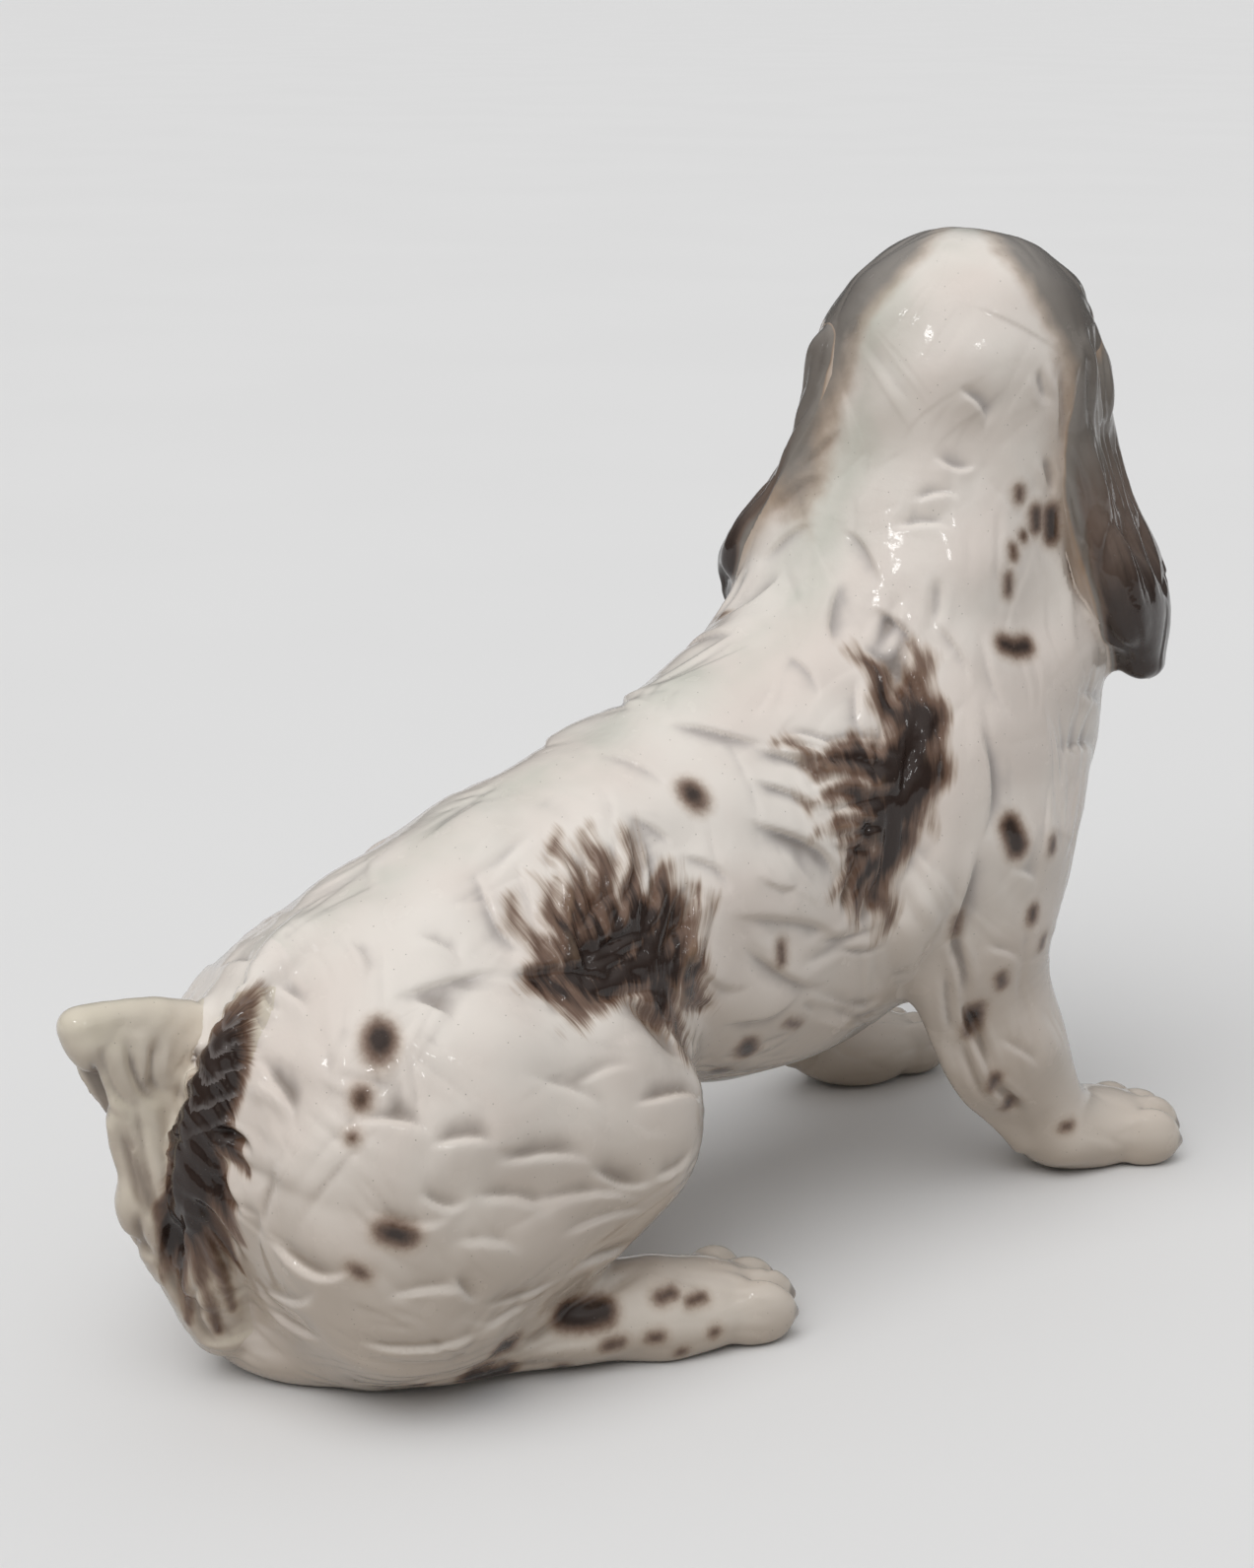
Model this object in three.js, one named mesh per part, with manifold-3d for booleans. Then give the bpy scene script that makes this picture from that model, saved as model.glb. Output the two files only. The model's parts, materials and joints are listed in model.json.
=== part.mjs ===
// A glazed ceramic figurine of a seated setter that looks back over its left shoulder. It is made the way such a
// figure is made: hollow slip castings from separate moulds (torso, head, four legs) and solid pressed pieces
// (two ears, the tail), luted together with slip before the firing.
//
// Millimetres. +Z is up, the forepaws point along -Y, and +X is the dog's left. The origin is the middle of the
// flat unglazed face under the seat.
import * as THREE from "three";
import { mergeVertices } from "three/addons/utils/BufferGeometryUtils.js";
import Module from "manifold-3d";

// ---------------------------------------------------------------- driving dimensions
const WALL = 5; // thickness of a slip-cast wall
const SEAM = 0.3; // slip line between two luted castings
const VENT_RADIUS = 6; // firing vent through the belly
const AIR_HOLE_RADIUS = 5; // holes between the torso's hollow and a leg's hollow
const FLOOR = 3 * WALL; // the castings are solid below this height inside a foot

const LEFT = 1; // sides, as signs of X
const RIGHT = -1;
const SIDES = { right: RIGHT, left: LEFT };

const HEAD = { centre: [5, -219, 256], turn: 42, nod: 4 }; // degrees to the left, and downwards
const COLLAR = { at: [3, -212, 214], normal: [0.05, -0.3, 1] }; // luting plane round the neck
const HAUNCH = { out: 34, y: -12, z: 66 };
const FOREPAW = {
  [RIGHT]: { x: -37, y: -247, turnOut: -17 },
  [LEFT]: { x: 57, y: -236, turnOut: 6 },
};
const HIND_PAW = { out: 51, y: -69, turnOut: 8 };

const GLAZE = new THREE.Color(0.83, 0.8, 0.75);
const EAR_BROWN = new THREE.Color(0.2, 0.17, 0.16);
const CREAM = new THREE.Color(0.8, 0.77, 0.68);
const GLAZE_ROUGHNESS = 0.12;

// ---------------------------------------------------------------- forms
// A form is a function of grow: the same shape with every surface moved outwards by grow millimetres. A casting's
// hollow is its form grown by -WALL, and its luting face is cut by its neighbour's form grown by SEAM.
const wasm = await Module();
wasm.setup();

function solid(geometry) {
  const bare = geometry.clone();
  bare.deleteAttribute("normal");
  bare.deleteAttribute("uv");
  const merged = mergeVertices(bare, 1e-3);
  const vertProperties = merged.attributes.position.array;
  const triVerts = new Uint32Array(merged.index.array);
  return new wasm.Manifold(new wasm.Mesh({ numProp: 3, vertProperties, triVerts }));
}

const join = (...solids) => solids.reduce((all, next) => all.add(next));
const form = (...shapes) => (grow) => join(...shapes.map((shape) => solid(shape(grow))));
const moved = (shape, matrix) => (grow) => shape(grow).applyMatrix4(matrix);
const radians = THREE.MathUtils.degToRad;

// A hollow is faceted half as finely as a skin.
const facets = (count, grow) => (grow < 0 ? Math.ceil(count / 2) : count);

// An ellipsoid. Its turn is in degrees about X, Y and Z.
function ball(centre, radii, turn = [0, 0, 0], detail = 16) {
  return (grow) => {
    const around = facets(detail, grow);
    const g = new THREE.SphereGeometry(1, around, Math.round(around * 0.6));
    g.rotateX(Math.PI / 2);
    g.scale(...radii.map((r) => r + grow));
    g.applyMatrix4(new THREE.Matrix4().makeRotationFromEuler(new THREE.Euler(...turn.map(radians))));
    return g.translate(...centre);
  };
}

// A skin of elliptical rings along a smooth path, with domed ends. A station is [x, y, z, half width, half depth]:
// the width lies along X, and the depth is square to it and to the path.
function loft(stations, { rings = 12, around = 18, dome = 0.75 } = {}) {
  const path = new THREE.CatmullRomCurve3(stations.map(([x, y, z]) => new THREE.Vector3(x, y, z)));
  const girth = new THREE.CatmullRomCurve3(stations.map(([, , , w, d]) => new THREE.Vector3(w, d, 0)));
  const xAxis = new THREE.Vector3(1, 0, 0);
  const thinnest = 0.4;
  const domeSteps = 3;
  return (grow) => {
    const along = facets(rings, grow);
    const perRing = facets(around, grow);
    const points = [];
    // One ring at t along the path, shrunk by scale and shifted along the path by shift dome heights.
    const ring = (t, scale, shift) => {
      const tangent = path.getTangent(t);
      const depthAxis = tangent.clone().cross(xAxis).normalize();
      const widthAxis = depthAxis.clone().cross(tangent).normalize();
      const size = girth.getPoint(t);
      const w = Math.max(size.x + grow, thinnest);
      const d = Math.max(size.y + grow, thinnest);
      const centre = path.getPoint(t).addScaledVector(tangent, shift * dome * Math.min(w, d));
      if (scale === 0) return points.push(centre);
      for (let i = 0; i < perRing; i++) {
        const angle = (i / perRing) * 2 * Math.PI;
        const p = centre.clone().addScaledVector(widthAxis, w * scale * Math.cos(angle));
        points.push(p.addScaledVector(depthAxis, d * scale * Math.sin(angle)));
      }
      return points.length;
    };
    const domed = (k) => (k / domeSteps) * (Math.PI / 2);
    for (let k = domeSteps - 1; k > 0; k--) ring(0, Math.cos(domed(k)), -Math.sin(domed(k)));
    for (let k = 0; k <= along; k++) ring(k / along, 1, 0);
    for (let k = 1; k < domeSteps; k++) ring(1, Math.cos(domed(k)), Math.sin(domed(k)));
    const lastRing = points.length - perRing;
    const start = ring(0, 0, -1) - 1;
    const end = ring(1, 0, 1) - 1;
    const faces = [];
    for (let i = 0; i < perRing; i++) {
      const j = (i + 1) % perRing;
      for (let k = 0; k < lastRing; k += perRing) {
        faces.push(k + i, k + j, k + i + perRing, k + j, k + j + perRing, k + i + perRing);
      }
      faces.push(start, j, i, end, lastRing + i, lastRing + j);
    }
    const g = new THREE.BufferGeometry().setFromPoints(points);
    g.setIndex(faces);
    return g;
  };
}

// ---------------------------------------------------------------- cutters
// Everything below a height, which grinds the feet flat and leaves a floor in each hollow.
function below(height) {
  const depth = 100;
  return solid(new THREE.BoxGeometry(600, 900, depth).translate(0, -100, height - depth / 2));
}

// Everything above the collar plane (direction 1) or below it (direction -1), starting at a distance from it.
function beyondCollar(direction, distance) {
  const size = 400;
  const normal = new THREE.Vector3(...COLLAR.normal).normalize();
  const g = new THREE.BoxGeometry(size, size, size).translate(0, 0, direction * (size / 2 + distance));
  g.applyQuaternion(new THREE.Quaternion().setFromUnitVectors(new THREE.Vector3(0, 0, 1), normal));
  return solid(g.translate(...COLLAR.at));
}

function drill(from, to, radius) {
  const [a, b] = [new THREE.Vector3(...from), new THREE.Vector3(...to)];
  const g = new THREE.CylinderGeometry(radius, radius, a.distanceTo(b), 14);
  const direction = b.clone().sub(a).normalize();
  g.applyQuaternion(new THREE.Quaternion().setFromUnitVectors(new THREE.Vector3(0, 1, 0), direction));
  return solid(g.translate(...a.add(b).multiplyScalar(0.5)));
}

// ---------------------------------------------------------------- torso and neck
const barrel = loft(
  [
    [0, 16, 56, 44, 41],
    [0, 4, 77, 48, 51],
    [0, -30, 95, 49, 50],
    [0, -75, 110, 47, 50],
    [1, -120, 121, 48, 55],
    [3, -165, 129, 49, 60],
    [5, -205, 134, 42, 54],
  ],
  { rings: 14, around: 22 },
);
const neck = loft(
  [
    [3, -184, 128, 50, 64],
    [4, -204, 162, 48, 60],
    [4, -213, 198, 43, 51],
    [5, -217, 226, 38, 43],
    [5, -218, 250, 34, 36],
  ],
  { rings: 10, around: 22 },
);
const chest = ball([6, -217, 152], [42, 43, 54], [-10, 0, 0], 16);
const seat = ball([0, 0, 30], [54, 43, 34], [0, 0, 0], 18);
const belly = ball([1, -118, 90], [43, 74, 37], [12, 0, 0], 16);
const shoulder = (side) => ball([3 + side * 33, -188, 126], [25, 36, 48], [8, 0, 0], 14);
const torsoShapes = [barrel, neck, chest, seat, belly, shoulder(LEFT), shoulder(RIGHT)];

// ---------------------------------------------------------------- head and ears, in the head's own frame
const headFrame = new THREE.Matrix4()
  .makeTranslation(...HEAD.centre)
  .multiply(new THREE.Matrix4().makeRotationZ(radians(HEAD.turn)))
  .multiply(new THREE.Matrix4().makeRotationX(radians(HEAD.nod)));
const inHead = (shape) => moved(shape, headFrame);

const skull = inHead(ball([0, 2, 1], [38.5, 41, 38], [0, 0, 0], 20));
const muzzle = inHead(
  loft(
    [
      [0, -20, -14, 29, 27],
      [0, -42, -18, 22, 21],
      [0, -64, -19, 19, 18],
      [0, -84, -18, 17, 15],
    ],
    { rings: 7, around: 18, dome: 0.5 },
  ),
);
const jaw = inHead(
  loft(
    [
      [0, -14, -30, 20, 11],
      [0, -44, -37, 14, 8],
      [0, -72, -37, 11, 6],
    ],
    { rings: 5, around: 12 },
  ),
);
const nose = inHead(ball([0, -91, -10], [10, 6, 8], [0, 0, 0], 12));
const faceSide = (side) => [
  inHead(ball([side * 21, -14, -14], [15, 22, 20], [0, 0, 0], 12)), // cheek
  inHead(ball([side * 11, -66, -28], [10, 19, 11], [0, 0, 0], 12)), // upper lip
  inHead(ball([side * 15, -32, 4], [9, 6, 7], [0, 0, 0], 10)), // brow and eye
];
const headShapes = [skull, muzzle, jaw, nose, ...faceSide(LEFT), ...faceSide(RIGHT)];

// A hanging ear: each station is [out, forward, up, half thickness, half breadth] from the middle of the skull. The
// left ear is pushed outwards by the turned neck.
const EAR_STATIONS = {
  [RIGHT]: [
    [28, 4, 17, 8, 14],
    [36, 5, -6, 7, 21],
    [42, 3, -30, 6.5, 25],
    [51, 0, -54, 6.5, 25],
    [58, -2, -76, 6, 19],
    [59, -3, -90, 5, 9],
  ],
  [LEFT]: [
    [29, 4, 17, 8, 14],
    [39, 5, -6, 7, 20],
    [43, 4, -26, 6.5, 24],
    [52, 2, -44, 6.5, 23],
    [64, 1, -60, 6, 17],
    [65, 0, -72, 5, 9],
  ],
};
const earForm = (side) => {
  const stations = EAR_STATIONS[side].map(([out, ...rest]) => [side * out, ...rest]);
  return form(inHead(loft(stations, { rings: 11, around: 14 })));
};

// ---------------------------------------------------------------- legs
// A paw with four toes, standing at a point and turned by some degrees about Z.
function paw({ x, y, turn, length, width, height }) {
  const frame = new THREE.Matrix4()
    .makeTranslation(x, y, 0)
    .multiply(new THREE.Matrix4().makeRotationZ(radians(turn)));
  const pad = ball([0, 0, height * 0.4], [width * 0.47, length * 0.46, height * 0.52], [0, 0, 0], 12);
  const toes = [-1.5, -0.5, 0.5, 1.5].map((k) => {
    const reach = length * (Math.abs(k) > 1 ? 0.24 : 0.36);
    const size = [width * 0.155, length * 0.22, height * 0.4];
    return ball([k * width * 0.235, -reach, height * 0.36], size, [0, 0, k * 9], 8);
  });
  return [pad, ...toes].map((shape) => moved(shape, frame));
}

// A leg is a hollow column or haunch with a solid paw.
function foreleg(side) {
  const { x, y, turnOut } = FOREPAW[side];
  const wrist = [x + side * 2 + 4, y + 18];
  const column = loft(
    [
      [3 + side * 38, -192, 120, 19, 32],
      [3 + side * 41, -194, 92, 17, 27],
      [(3 + side * 41 + wrist[0]) / 2, -202, 68, 14.5, 22],
      [wrist[0] + side * 2, -212, 46, 13.5, 19],
      [wrist[0], wrist[1] + 5, 28, 13, 16],
      [wrist[0], wrist[1], 14, 13, 15],
    ],
    { rings: 9, around: 14 },
  );
  // The fringe of long hair down the back of the leg, from the elbow to the wrist.
  const fringe = loft(
    [
      [3 + side * 40, -184, 90, 6, 24],
      [3 + side * 41, -190, 67, 5, 19],
      [wrist[0] + side * 2, -198, 48, 4.5, 17],
      [wrist[0], wrist[1] + 21, 30, 4, 15],
      [wrist[0], wrist[1] + 13, 18, 4, 8],
    ],
    { rings: 6, around: 10 },
  );
  const foot = paw({ x, y, turn: turnOut, length: 54, width: 36, height: 24 });
  return { skin: form(column, fringe, ...foot), hollow: form(column) };
}

function hindLeg(side) {
  const thigh = ball([side * HAUNCH.out, HAUNCH.y, HAUNCH.z], [31, 58, 52], [-26, 0, 0], 18);
  const knee = ball([side * 42, -47, 70], [23, 26, 30], [-12, 0, side * 8], 12);
  const hock = loft(
    [
      [side * 14, 12, 14, 18, 14],
      [side * 24, -8, 14, 19, 14],
      [side * 37, -34, 13, 18, 14],
      [side * 46, -58, 11, 17, 12],
    ],
    { rings: 5, around: 12 },
  );
  const paws = { x: side * HIND_PAW.out, y: HIND_PAW.y, turn: side * HIND_PAW.turnOut };
  const foot = paw({ ...paws, length: 56, width: 37, height: 24 });
  return { skin: form(thigh, knee, hock, ...foot), hollow: form(thigh) };
}

// ---------------------------------------------------------------- tail: a stem down the rump and a raised plume
const tailForm = form(
  loft(
    [
      [0, 30, 112, 6, 8],
      [1, 44, 104, 8, 9],
      [3, 52, 84, 9, 9],
      [6, 54, 58, 10, 9],
      [10, 49, 34, 12, 11],
      [13, 43, 21, 12, 12],
    ],
    { rings: 9, around: 12 },
  ),
  loft(
    [
      [12, 46, 22, 12, 13],
      [12, 54, 40, 9, 15],
      [12, 60, 62, 7, 15],
      [13, 64, 84, 6.5, 17],
      [15, 67, 105, 5.5, 21],
    ],
    { rings: 8, around: 16, dome: 1.5 },
  ),
);

// ---------------------------------------------------------------- castings, cut where they are luted
const grind = (s) => s.subtract(below(0));
const torsoForm = form(...torsoShapes);
const headForm = form(neck, ...headShapes);
const headHollow = form(neck, skull, muzzle);
const torsoNeighbour = torsoForm(SEAM);
const headAndTorsoNeighbour = form(...torsoShapes, ...headShapes)(SEAM);

function torsoShell() {
  const cast = torsoForm(0).subtract(torsoForm(-WALL).subtract(below(WALL)));
  const vent = drill([0, -100, 30], [0, -100, 80], VENT_RADIUS);
  const airHoles = [LEFT, RIGHT].flatMap((side) => [
    drill([side * 20, -190, 112], [side * 56, -190, 112], AIR_HOLE_RADIUS),
    drill([side * 20, HAUNCH.y, HAUNCH.z], [side * 60, HAUNCH.y, HAUNCH.z], AIR_HOLE_RADIUS),
  ]);
  return grind(cast).subtract(join(beyondCollar(1, 0), vent, ...airHoles));
}

function headShell() {
  return headForm(0).subtract(headHollow(-WALL)).subtract(beyondCollar(-1, -SEAM));
}

const earPiece = (side) => earForm(side)(0).subtract(headAndTorsoNeighbour);

function legShell({ skin, hollow }) {
  const inside = hollow(-WALL).subtract(below(FLOOR));
  return grind(skin(0)).subtract(inside).subtract(torsoNeighbour);
}

const tailPiece = () => grind(tailForm(0)).subtract(torsoNeighbour);

// ---------------------------------------------------------------- scene graph
// Adds a solid given in the dog's frame to a group, as a mesh placed at the middle of its own box.
function place(group, name, piece, colour) {
  const { numProp, vertProperties, triVerts } = piece.getMesh();
  const g = new THREE.BufferGeometry();
  g.setAttribute("position", new THREE.BufferAttribute(new Float32Array(vertProperties), numProp));
  g.setIndex(new THREE.BufferAttribute(triVerts, 1));
  group.updateWorldMatrix(true, false);
  g.applyMatrix4(group.matrixWorld.clone().invert());
  g.computeBoundingBox();
  const middle = g.boundingBox.getCenter(new THREE.Vector3());
  g.translate(-middle.x, -middle.y, -middle.z);
  const material = new THREE.MeshStandardMaterial({ color: colour, roughness: GLAZE_ROUGHNESS, metalness: 0 });
  const mesh = new THREE.Mesh(g, material);
  mesh.name = name;
  mesh.position.copy(middle);
  group.add(mesh);
}

const dog = new THREE.Group();
place(dog, "torso_shell", torsoShell(), GLAZE);
place(dog, "tail", tailPiece(), CREAM);

const head = new THREE.Group();
head.applyMatrix4(headFrame);
dog.add(head);
place(head, "head_shell", headShell(), GLAZE);

for (const [name, side] of Object.entries(SIDES)) {
  place(head, `${name}_ear`, earPiece(side), EAR_BROWN);
  const quarter = new THREE.Group();
  quarter.position.set(side * HAUNCH.out, 0, 0);
  dog.add(quarter);
  place(quarter, `${name}_foreleg`, legShell(foreleg(side)), GLAZE);
  place(quarter, `${name}_hind_leg`, legShell(hindLeg(side)), GLAZE);
}

export default dog;
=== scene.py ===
"""A glazed ceramic figurine of a seated setter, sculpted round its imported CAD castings.

The clay is a field of signed distances on a grid, in millimetres in the frame of the CAD: negative inside,
positive outside. Volumes are blended into it and cut out of it. Each CAD casting then gets the part of the
skin that is nearest to it, and the coat is tooled into those meshes as strokes. The paint is stored on the
vertices as masks, which one glaze material reads. Blender objects are in metres.
"""

import json
import math

import bpy
import numpy as np
import openvdb
from mathutils import Matrix, Vector

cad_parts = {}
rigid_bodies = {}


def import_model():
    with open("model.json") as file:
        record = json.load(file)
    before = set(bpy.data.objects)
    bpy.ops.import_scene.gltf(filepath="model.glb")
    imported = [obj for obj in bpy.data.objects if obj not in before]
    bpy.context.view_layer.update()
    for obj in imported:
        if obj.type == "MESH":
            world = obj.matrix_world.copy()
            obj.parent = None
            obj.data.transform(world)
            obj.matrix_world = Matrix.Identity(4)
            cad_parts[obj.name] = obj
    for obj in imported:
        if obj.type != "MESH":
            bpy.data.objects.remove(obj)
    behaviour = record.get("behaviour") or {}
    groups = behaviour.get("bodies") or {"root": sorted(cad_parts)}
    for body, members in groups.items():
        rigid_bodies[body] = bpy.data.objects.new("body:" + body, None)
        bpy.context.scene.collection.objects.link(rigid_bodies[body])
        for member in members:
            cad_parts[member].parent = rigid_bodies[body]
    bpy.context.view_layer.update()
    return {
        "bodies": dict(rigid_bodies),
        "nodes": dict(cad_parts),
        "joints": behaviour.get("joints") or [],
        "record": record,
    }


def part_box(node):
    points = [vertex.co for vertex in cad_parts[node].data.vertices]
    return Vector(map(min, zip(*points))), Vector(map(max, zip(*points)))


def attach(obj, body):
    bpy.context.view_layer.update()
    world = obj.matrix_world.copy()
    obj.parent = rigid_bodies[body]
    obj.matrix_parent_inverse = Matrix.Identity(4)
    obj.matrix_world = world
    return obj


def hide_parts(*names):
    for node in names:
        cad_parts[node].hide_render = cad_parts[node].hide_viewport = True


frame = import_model()

MM = 0.001
VOXEL = 0.9  # grid step, mm
FINE_SHARE = 0.72  # the head's grid step as a share of the body's
SOFTENING = 0.8  # blur of the clay before the tooling, mm
STAND_PROUD = 8.0  # room round the castings for the clay, mm
FAR = 60.0  # a distance beyond every blend, mm
RIGHT, LEFT = -1, 1  # sides, as signs of X
SIDES = {"right": RIGHT, "left": LEFT}
rng = np.random.default_rng(1957)


def cad_box(node):
    """Lowest and highest corner of a CAD casting, in millimetres."""
    return tuple(np.array(corner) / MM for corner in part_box(node))


def box_round(nodes):
    """The box round several castings, in millimetres."""
    lows, highs = zip(*(cad_box(node) for node in nodes))
    return np.min(lows, axis=0), np.max(highs, axis=0)


# ---------------------------------------------------------------- frames
def turned(x=0.0, y=0.0, z=0.0):
    """Rotation by degrees about X, then Y, then Z."""
    turn = Matrix.Identity(3)
    for angle, axis in ((x, "X"), (y, "Y"), (z, "Z")):
        turn = Matrix.Rotation(math.radians(angle), 3, axis) @ turn
    return np.array(turn)


class Frame:
    """A place and a rotation, in millimetres."""

    def __init__(self, origin=(0, 0, 0), turn=None):
        self.origin = np.array(origin, float)
        self.turn = np.eye(3) if turn is None else turn
        self.plain = turn is None and not self.origin.any()

    def local(self, x, y, z):
        """Coordinates along the frame's own axes."""
        if self.plain:
            return x, y, z
        steps = (x - self.origin[0], y - self.origin[1], z - self.origin[2])
        return tuple(sum(self.turn[j, k] * steps[j] for j in range(3)) for k in range(3))

    def world(self, points):
        return np.asarray(points, float) @ self.turn.T + self.origin


WORLD = Frame()
HEAD_CENTRE = (5, -219, 256)
HEAD = Frame(HEAD_CENTRE, turned(z=42) @ turned(x=4))
COLLAR_POINT = np.array([3, -212, 214])
COLLAR_NORMAL = np.array([0.05, -0.3, 1.0]) / np.linalg.norm([0.05, -0.3, 1.0])


def to_side(side, place):
    """A place that is given for the left side, mirrored where the side is the right one."""
    return (side * place[0], *place[1:])


# ---------------------------------------------------------------- the clay
class Clay:
    """Signed distances on a grid, and each casting's own distances in a window of that grid."""

    def __init__(self, low, high, step):
        self.low, self.step = low, step
        self.shape = tuple(int(n) for n in np.ceil((high - low) / step) + 1)
        self.skin = np.full(self.shape, FAR, np.float32)
        self.windows, self.own = {}, {}

    def window(self, low, high):
        first = np.clip(np.floor((low - self.low) / self.step), 0, self.shape).astype(int)
        last = np.clip(np.ceil((high - self.low) / self.step) + 1, first, self.shape).astype(int)
        return tuple(slice(a, b) for a, b in zip(first, last))

    def axes(self, window):
        x, y, z = (
            (low + self.step * np.arange(w.start, w.stop)).astype(np.float32)
            for low, w in zip(self.low, window)
        )
        return x[:, None, None], y[None, :, None], z[None, None, :]

    def casting(self, node, margin=14):
        low, high = cad_box(node)
        self.windows[node] = self.window(low - margin, high + margin)
        shape = tuple(w.stop - w.start for w in self.windows[node])
        self.own[node] = np.full(shape, FAR, np.float32)

    def claim(self, node, window, distance):
        """Counts a volume as part of a casting."""
        ours, inside, theirs = overlap(self.windows[node], window)
        if ours:
            own = self.own[node]
            own[inside] = np.minimum(own[inside], distance[theirs])

    def add(self, node, form, blend):
        window = self.window(form.low, form.high)
        distance = form.distance(*self.axes(window)).astype(np.float32)
        self.skin[window] = soft_min(self.skin[window], distance, blend)
        self.claim(node, window, distance)

    def cut(self, form, blend):
        window = self.window(form.low, form.high)
        distance = form.distance(*self.axes(window)).astype(np.float32)
        self.skin[window] = -soft_min(-self.skin[window], distance, blend)


def overlap(a, b):
    """Whether two windows overlap, and the shared part in each window's own indices."""
    shared = [slice(max(p.start, q.start), min(p.stop, q.stop)) for p, q in zip(a, b)]
    found = all(s.stop > s.start for s in shared)
    within = [
        tuple(slice(s.start - w.start, s.stop - w.start) for s, w in zip(shared, window))
        for window in (a, b)
    ]
    return found, within[0], within[1]


def soft_min(a, b, blend):
    """The smaller of two distances, with a fillet where they meet."""
    meet = np.maximum(blend - np.abs(a - b), 0) / blend
    return np.minimum(a, b) - meet * meet * blend / 4


class Form:
    """A volume: its box, and a function that gives distances to its surface."""

    def __init__(self, low, high, distance, reach=24):
        self.low = np.array(low, float) - reach
        self.high = np.array(high, float) + reach
        self.distance = distance


def ball(centre, radii, turn=(0, 0, 0), frame=WORLD):
    """An ellipsoid. Its centre and turn are in the frame's own axes."""
    rotation = frame.turn @ turned(*turn)
    place = Frame(frame.world(centre), rotation)
    a, b, c = radii

    def distance(x, y, z):
        u, v, w = place.local(x, y, z)
        f = np.sqrt((u / a) ** 2 + (v / b) ** 2 + (w / c) ** 2)
        slope = np.sqrt((u / a**2) ** 2 + (v / b**2) ** 2 + (w / c**2) ** 2)
        return f * (f - 1) / np.maximum(slope, 1e-6)

    spread = np.sqrt((rotation**2) @ (np.array(radii, float) ** 2))
    return Form(place.origin - spread, place.origin + spread, distance)


def smooth_path(stations, count):
    """Points on a Catmull-Rom curve through the stations, every column at once."""
    s = np.array(stations, float)
    s = np.vstack([2 * s[0] - s[1], s, 2 * s[-1] - s[-2]])
    t = np.linspace(0, len(s) - 3, count + 1)
    k = np.minimum(t.astype(int), len(s) - 4)
    f = (t - k)[:, None]
    a, b, c, d = s[k], s[k + 1], s[k + 2], s[k + 3]
    return 0.5 * (2 * b + (c - a) * f + (2 * a - 5 * b + 4 * c - d) * f**2 + (3 * b - a - 3 * c + d) * f**3)


def loft(stations, plane="yz", frame=WORLD, cap=0.75, segments=26):
    """A skin round a path that lies close to a plane. A station is [x, y, z, across, within]: the half sizes
    square to the plane and in it. The cap is the length of the domed ends over the smaller half size."""
    path = smooth_path(stations, segments)
    i, j = "xyz".index(plane[0]), "xyz".index(plane[1])
    k = 3 - i - j
    start, step = path[:-1], np.diff(path, axis=0)

    def distance(x, y, z):
        p = frame.local(x, y, z)
        a, b = p[i], p[j]
        nearest = np.full(np.broadcast(a, b).shape, 1e9, np.float32)
        where = np.zeros_like(nearest)
        beyond = np.zeros_like(nearest)
        for n in range(segments):
            length = math.hypot(step[n, i], step[n, j])
            along = ((a - start[n, i]) * step[n, i] + (b - start[n, j]) * step[n, j]) / length
            t = np.clip(along / length, 0, 1)
            gap = (a - start[n, i] - t * step[n, i]) ** 2 + (b - start[n, j] - t * step[n, j]) ** 2
            closer = gap < nearest
            nearest = np.where(closer, gap, nearest)
            where = np.where(closer, n + t, where)
            beyond = np.where(closer, along - t * length, beyond)
        ends = (where <= 0) | (where >= segments)
        beyond = np.where(ends, beyond, 0)
        side = np.sqrt(np.maximum(nearest - beyond**2, 0))
        middle, across, within = (np.interp(where, np.arange(segments + 1), path[:, c]) for c in (k, 3, 4))
        dome = cap * np.minimum(across, within)
        out = p[k] - middle.astype(np.float32)
        across, within, dome = (v.astype(np.float32) for v in (across, within, dome))
        flat = (side / within) ** 2 + (beyond / dome) ** 2
        flat_slope = (side / within**2) ** 2 + (beyond / dome**2) ** 2
        f = np.sqrt((out / across) ** 2 + flat)
        slope = np.sqrt((out / across**2) ** 2 + flat_slope)
        return f * (f - 1) / np.maximum(slope, 1e-6)

    points = frame.world(path[:, :3])
    size = path[:, 3:].max()
    return Form(points.min(0) - size, points.max(0) + size, distance, reach=16)


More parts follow.
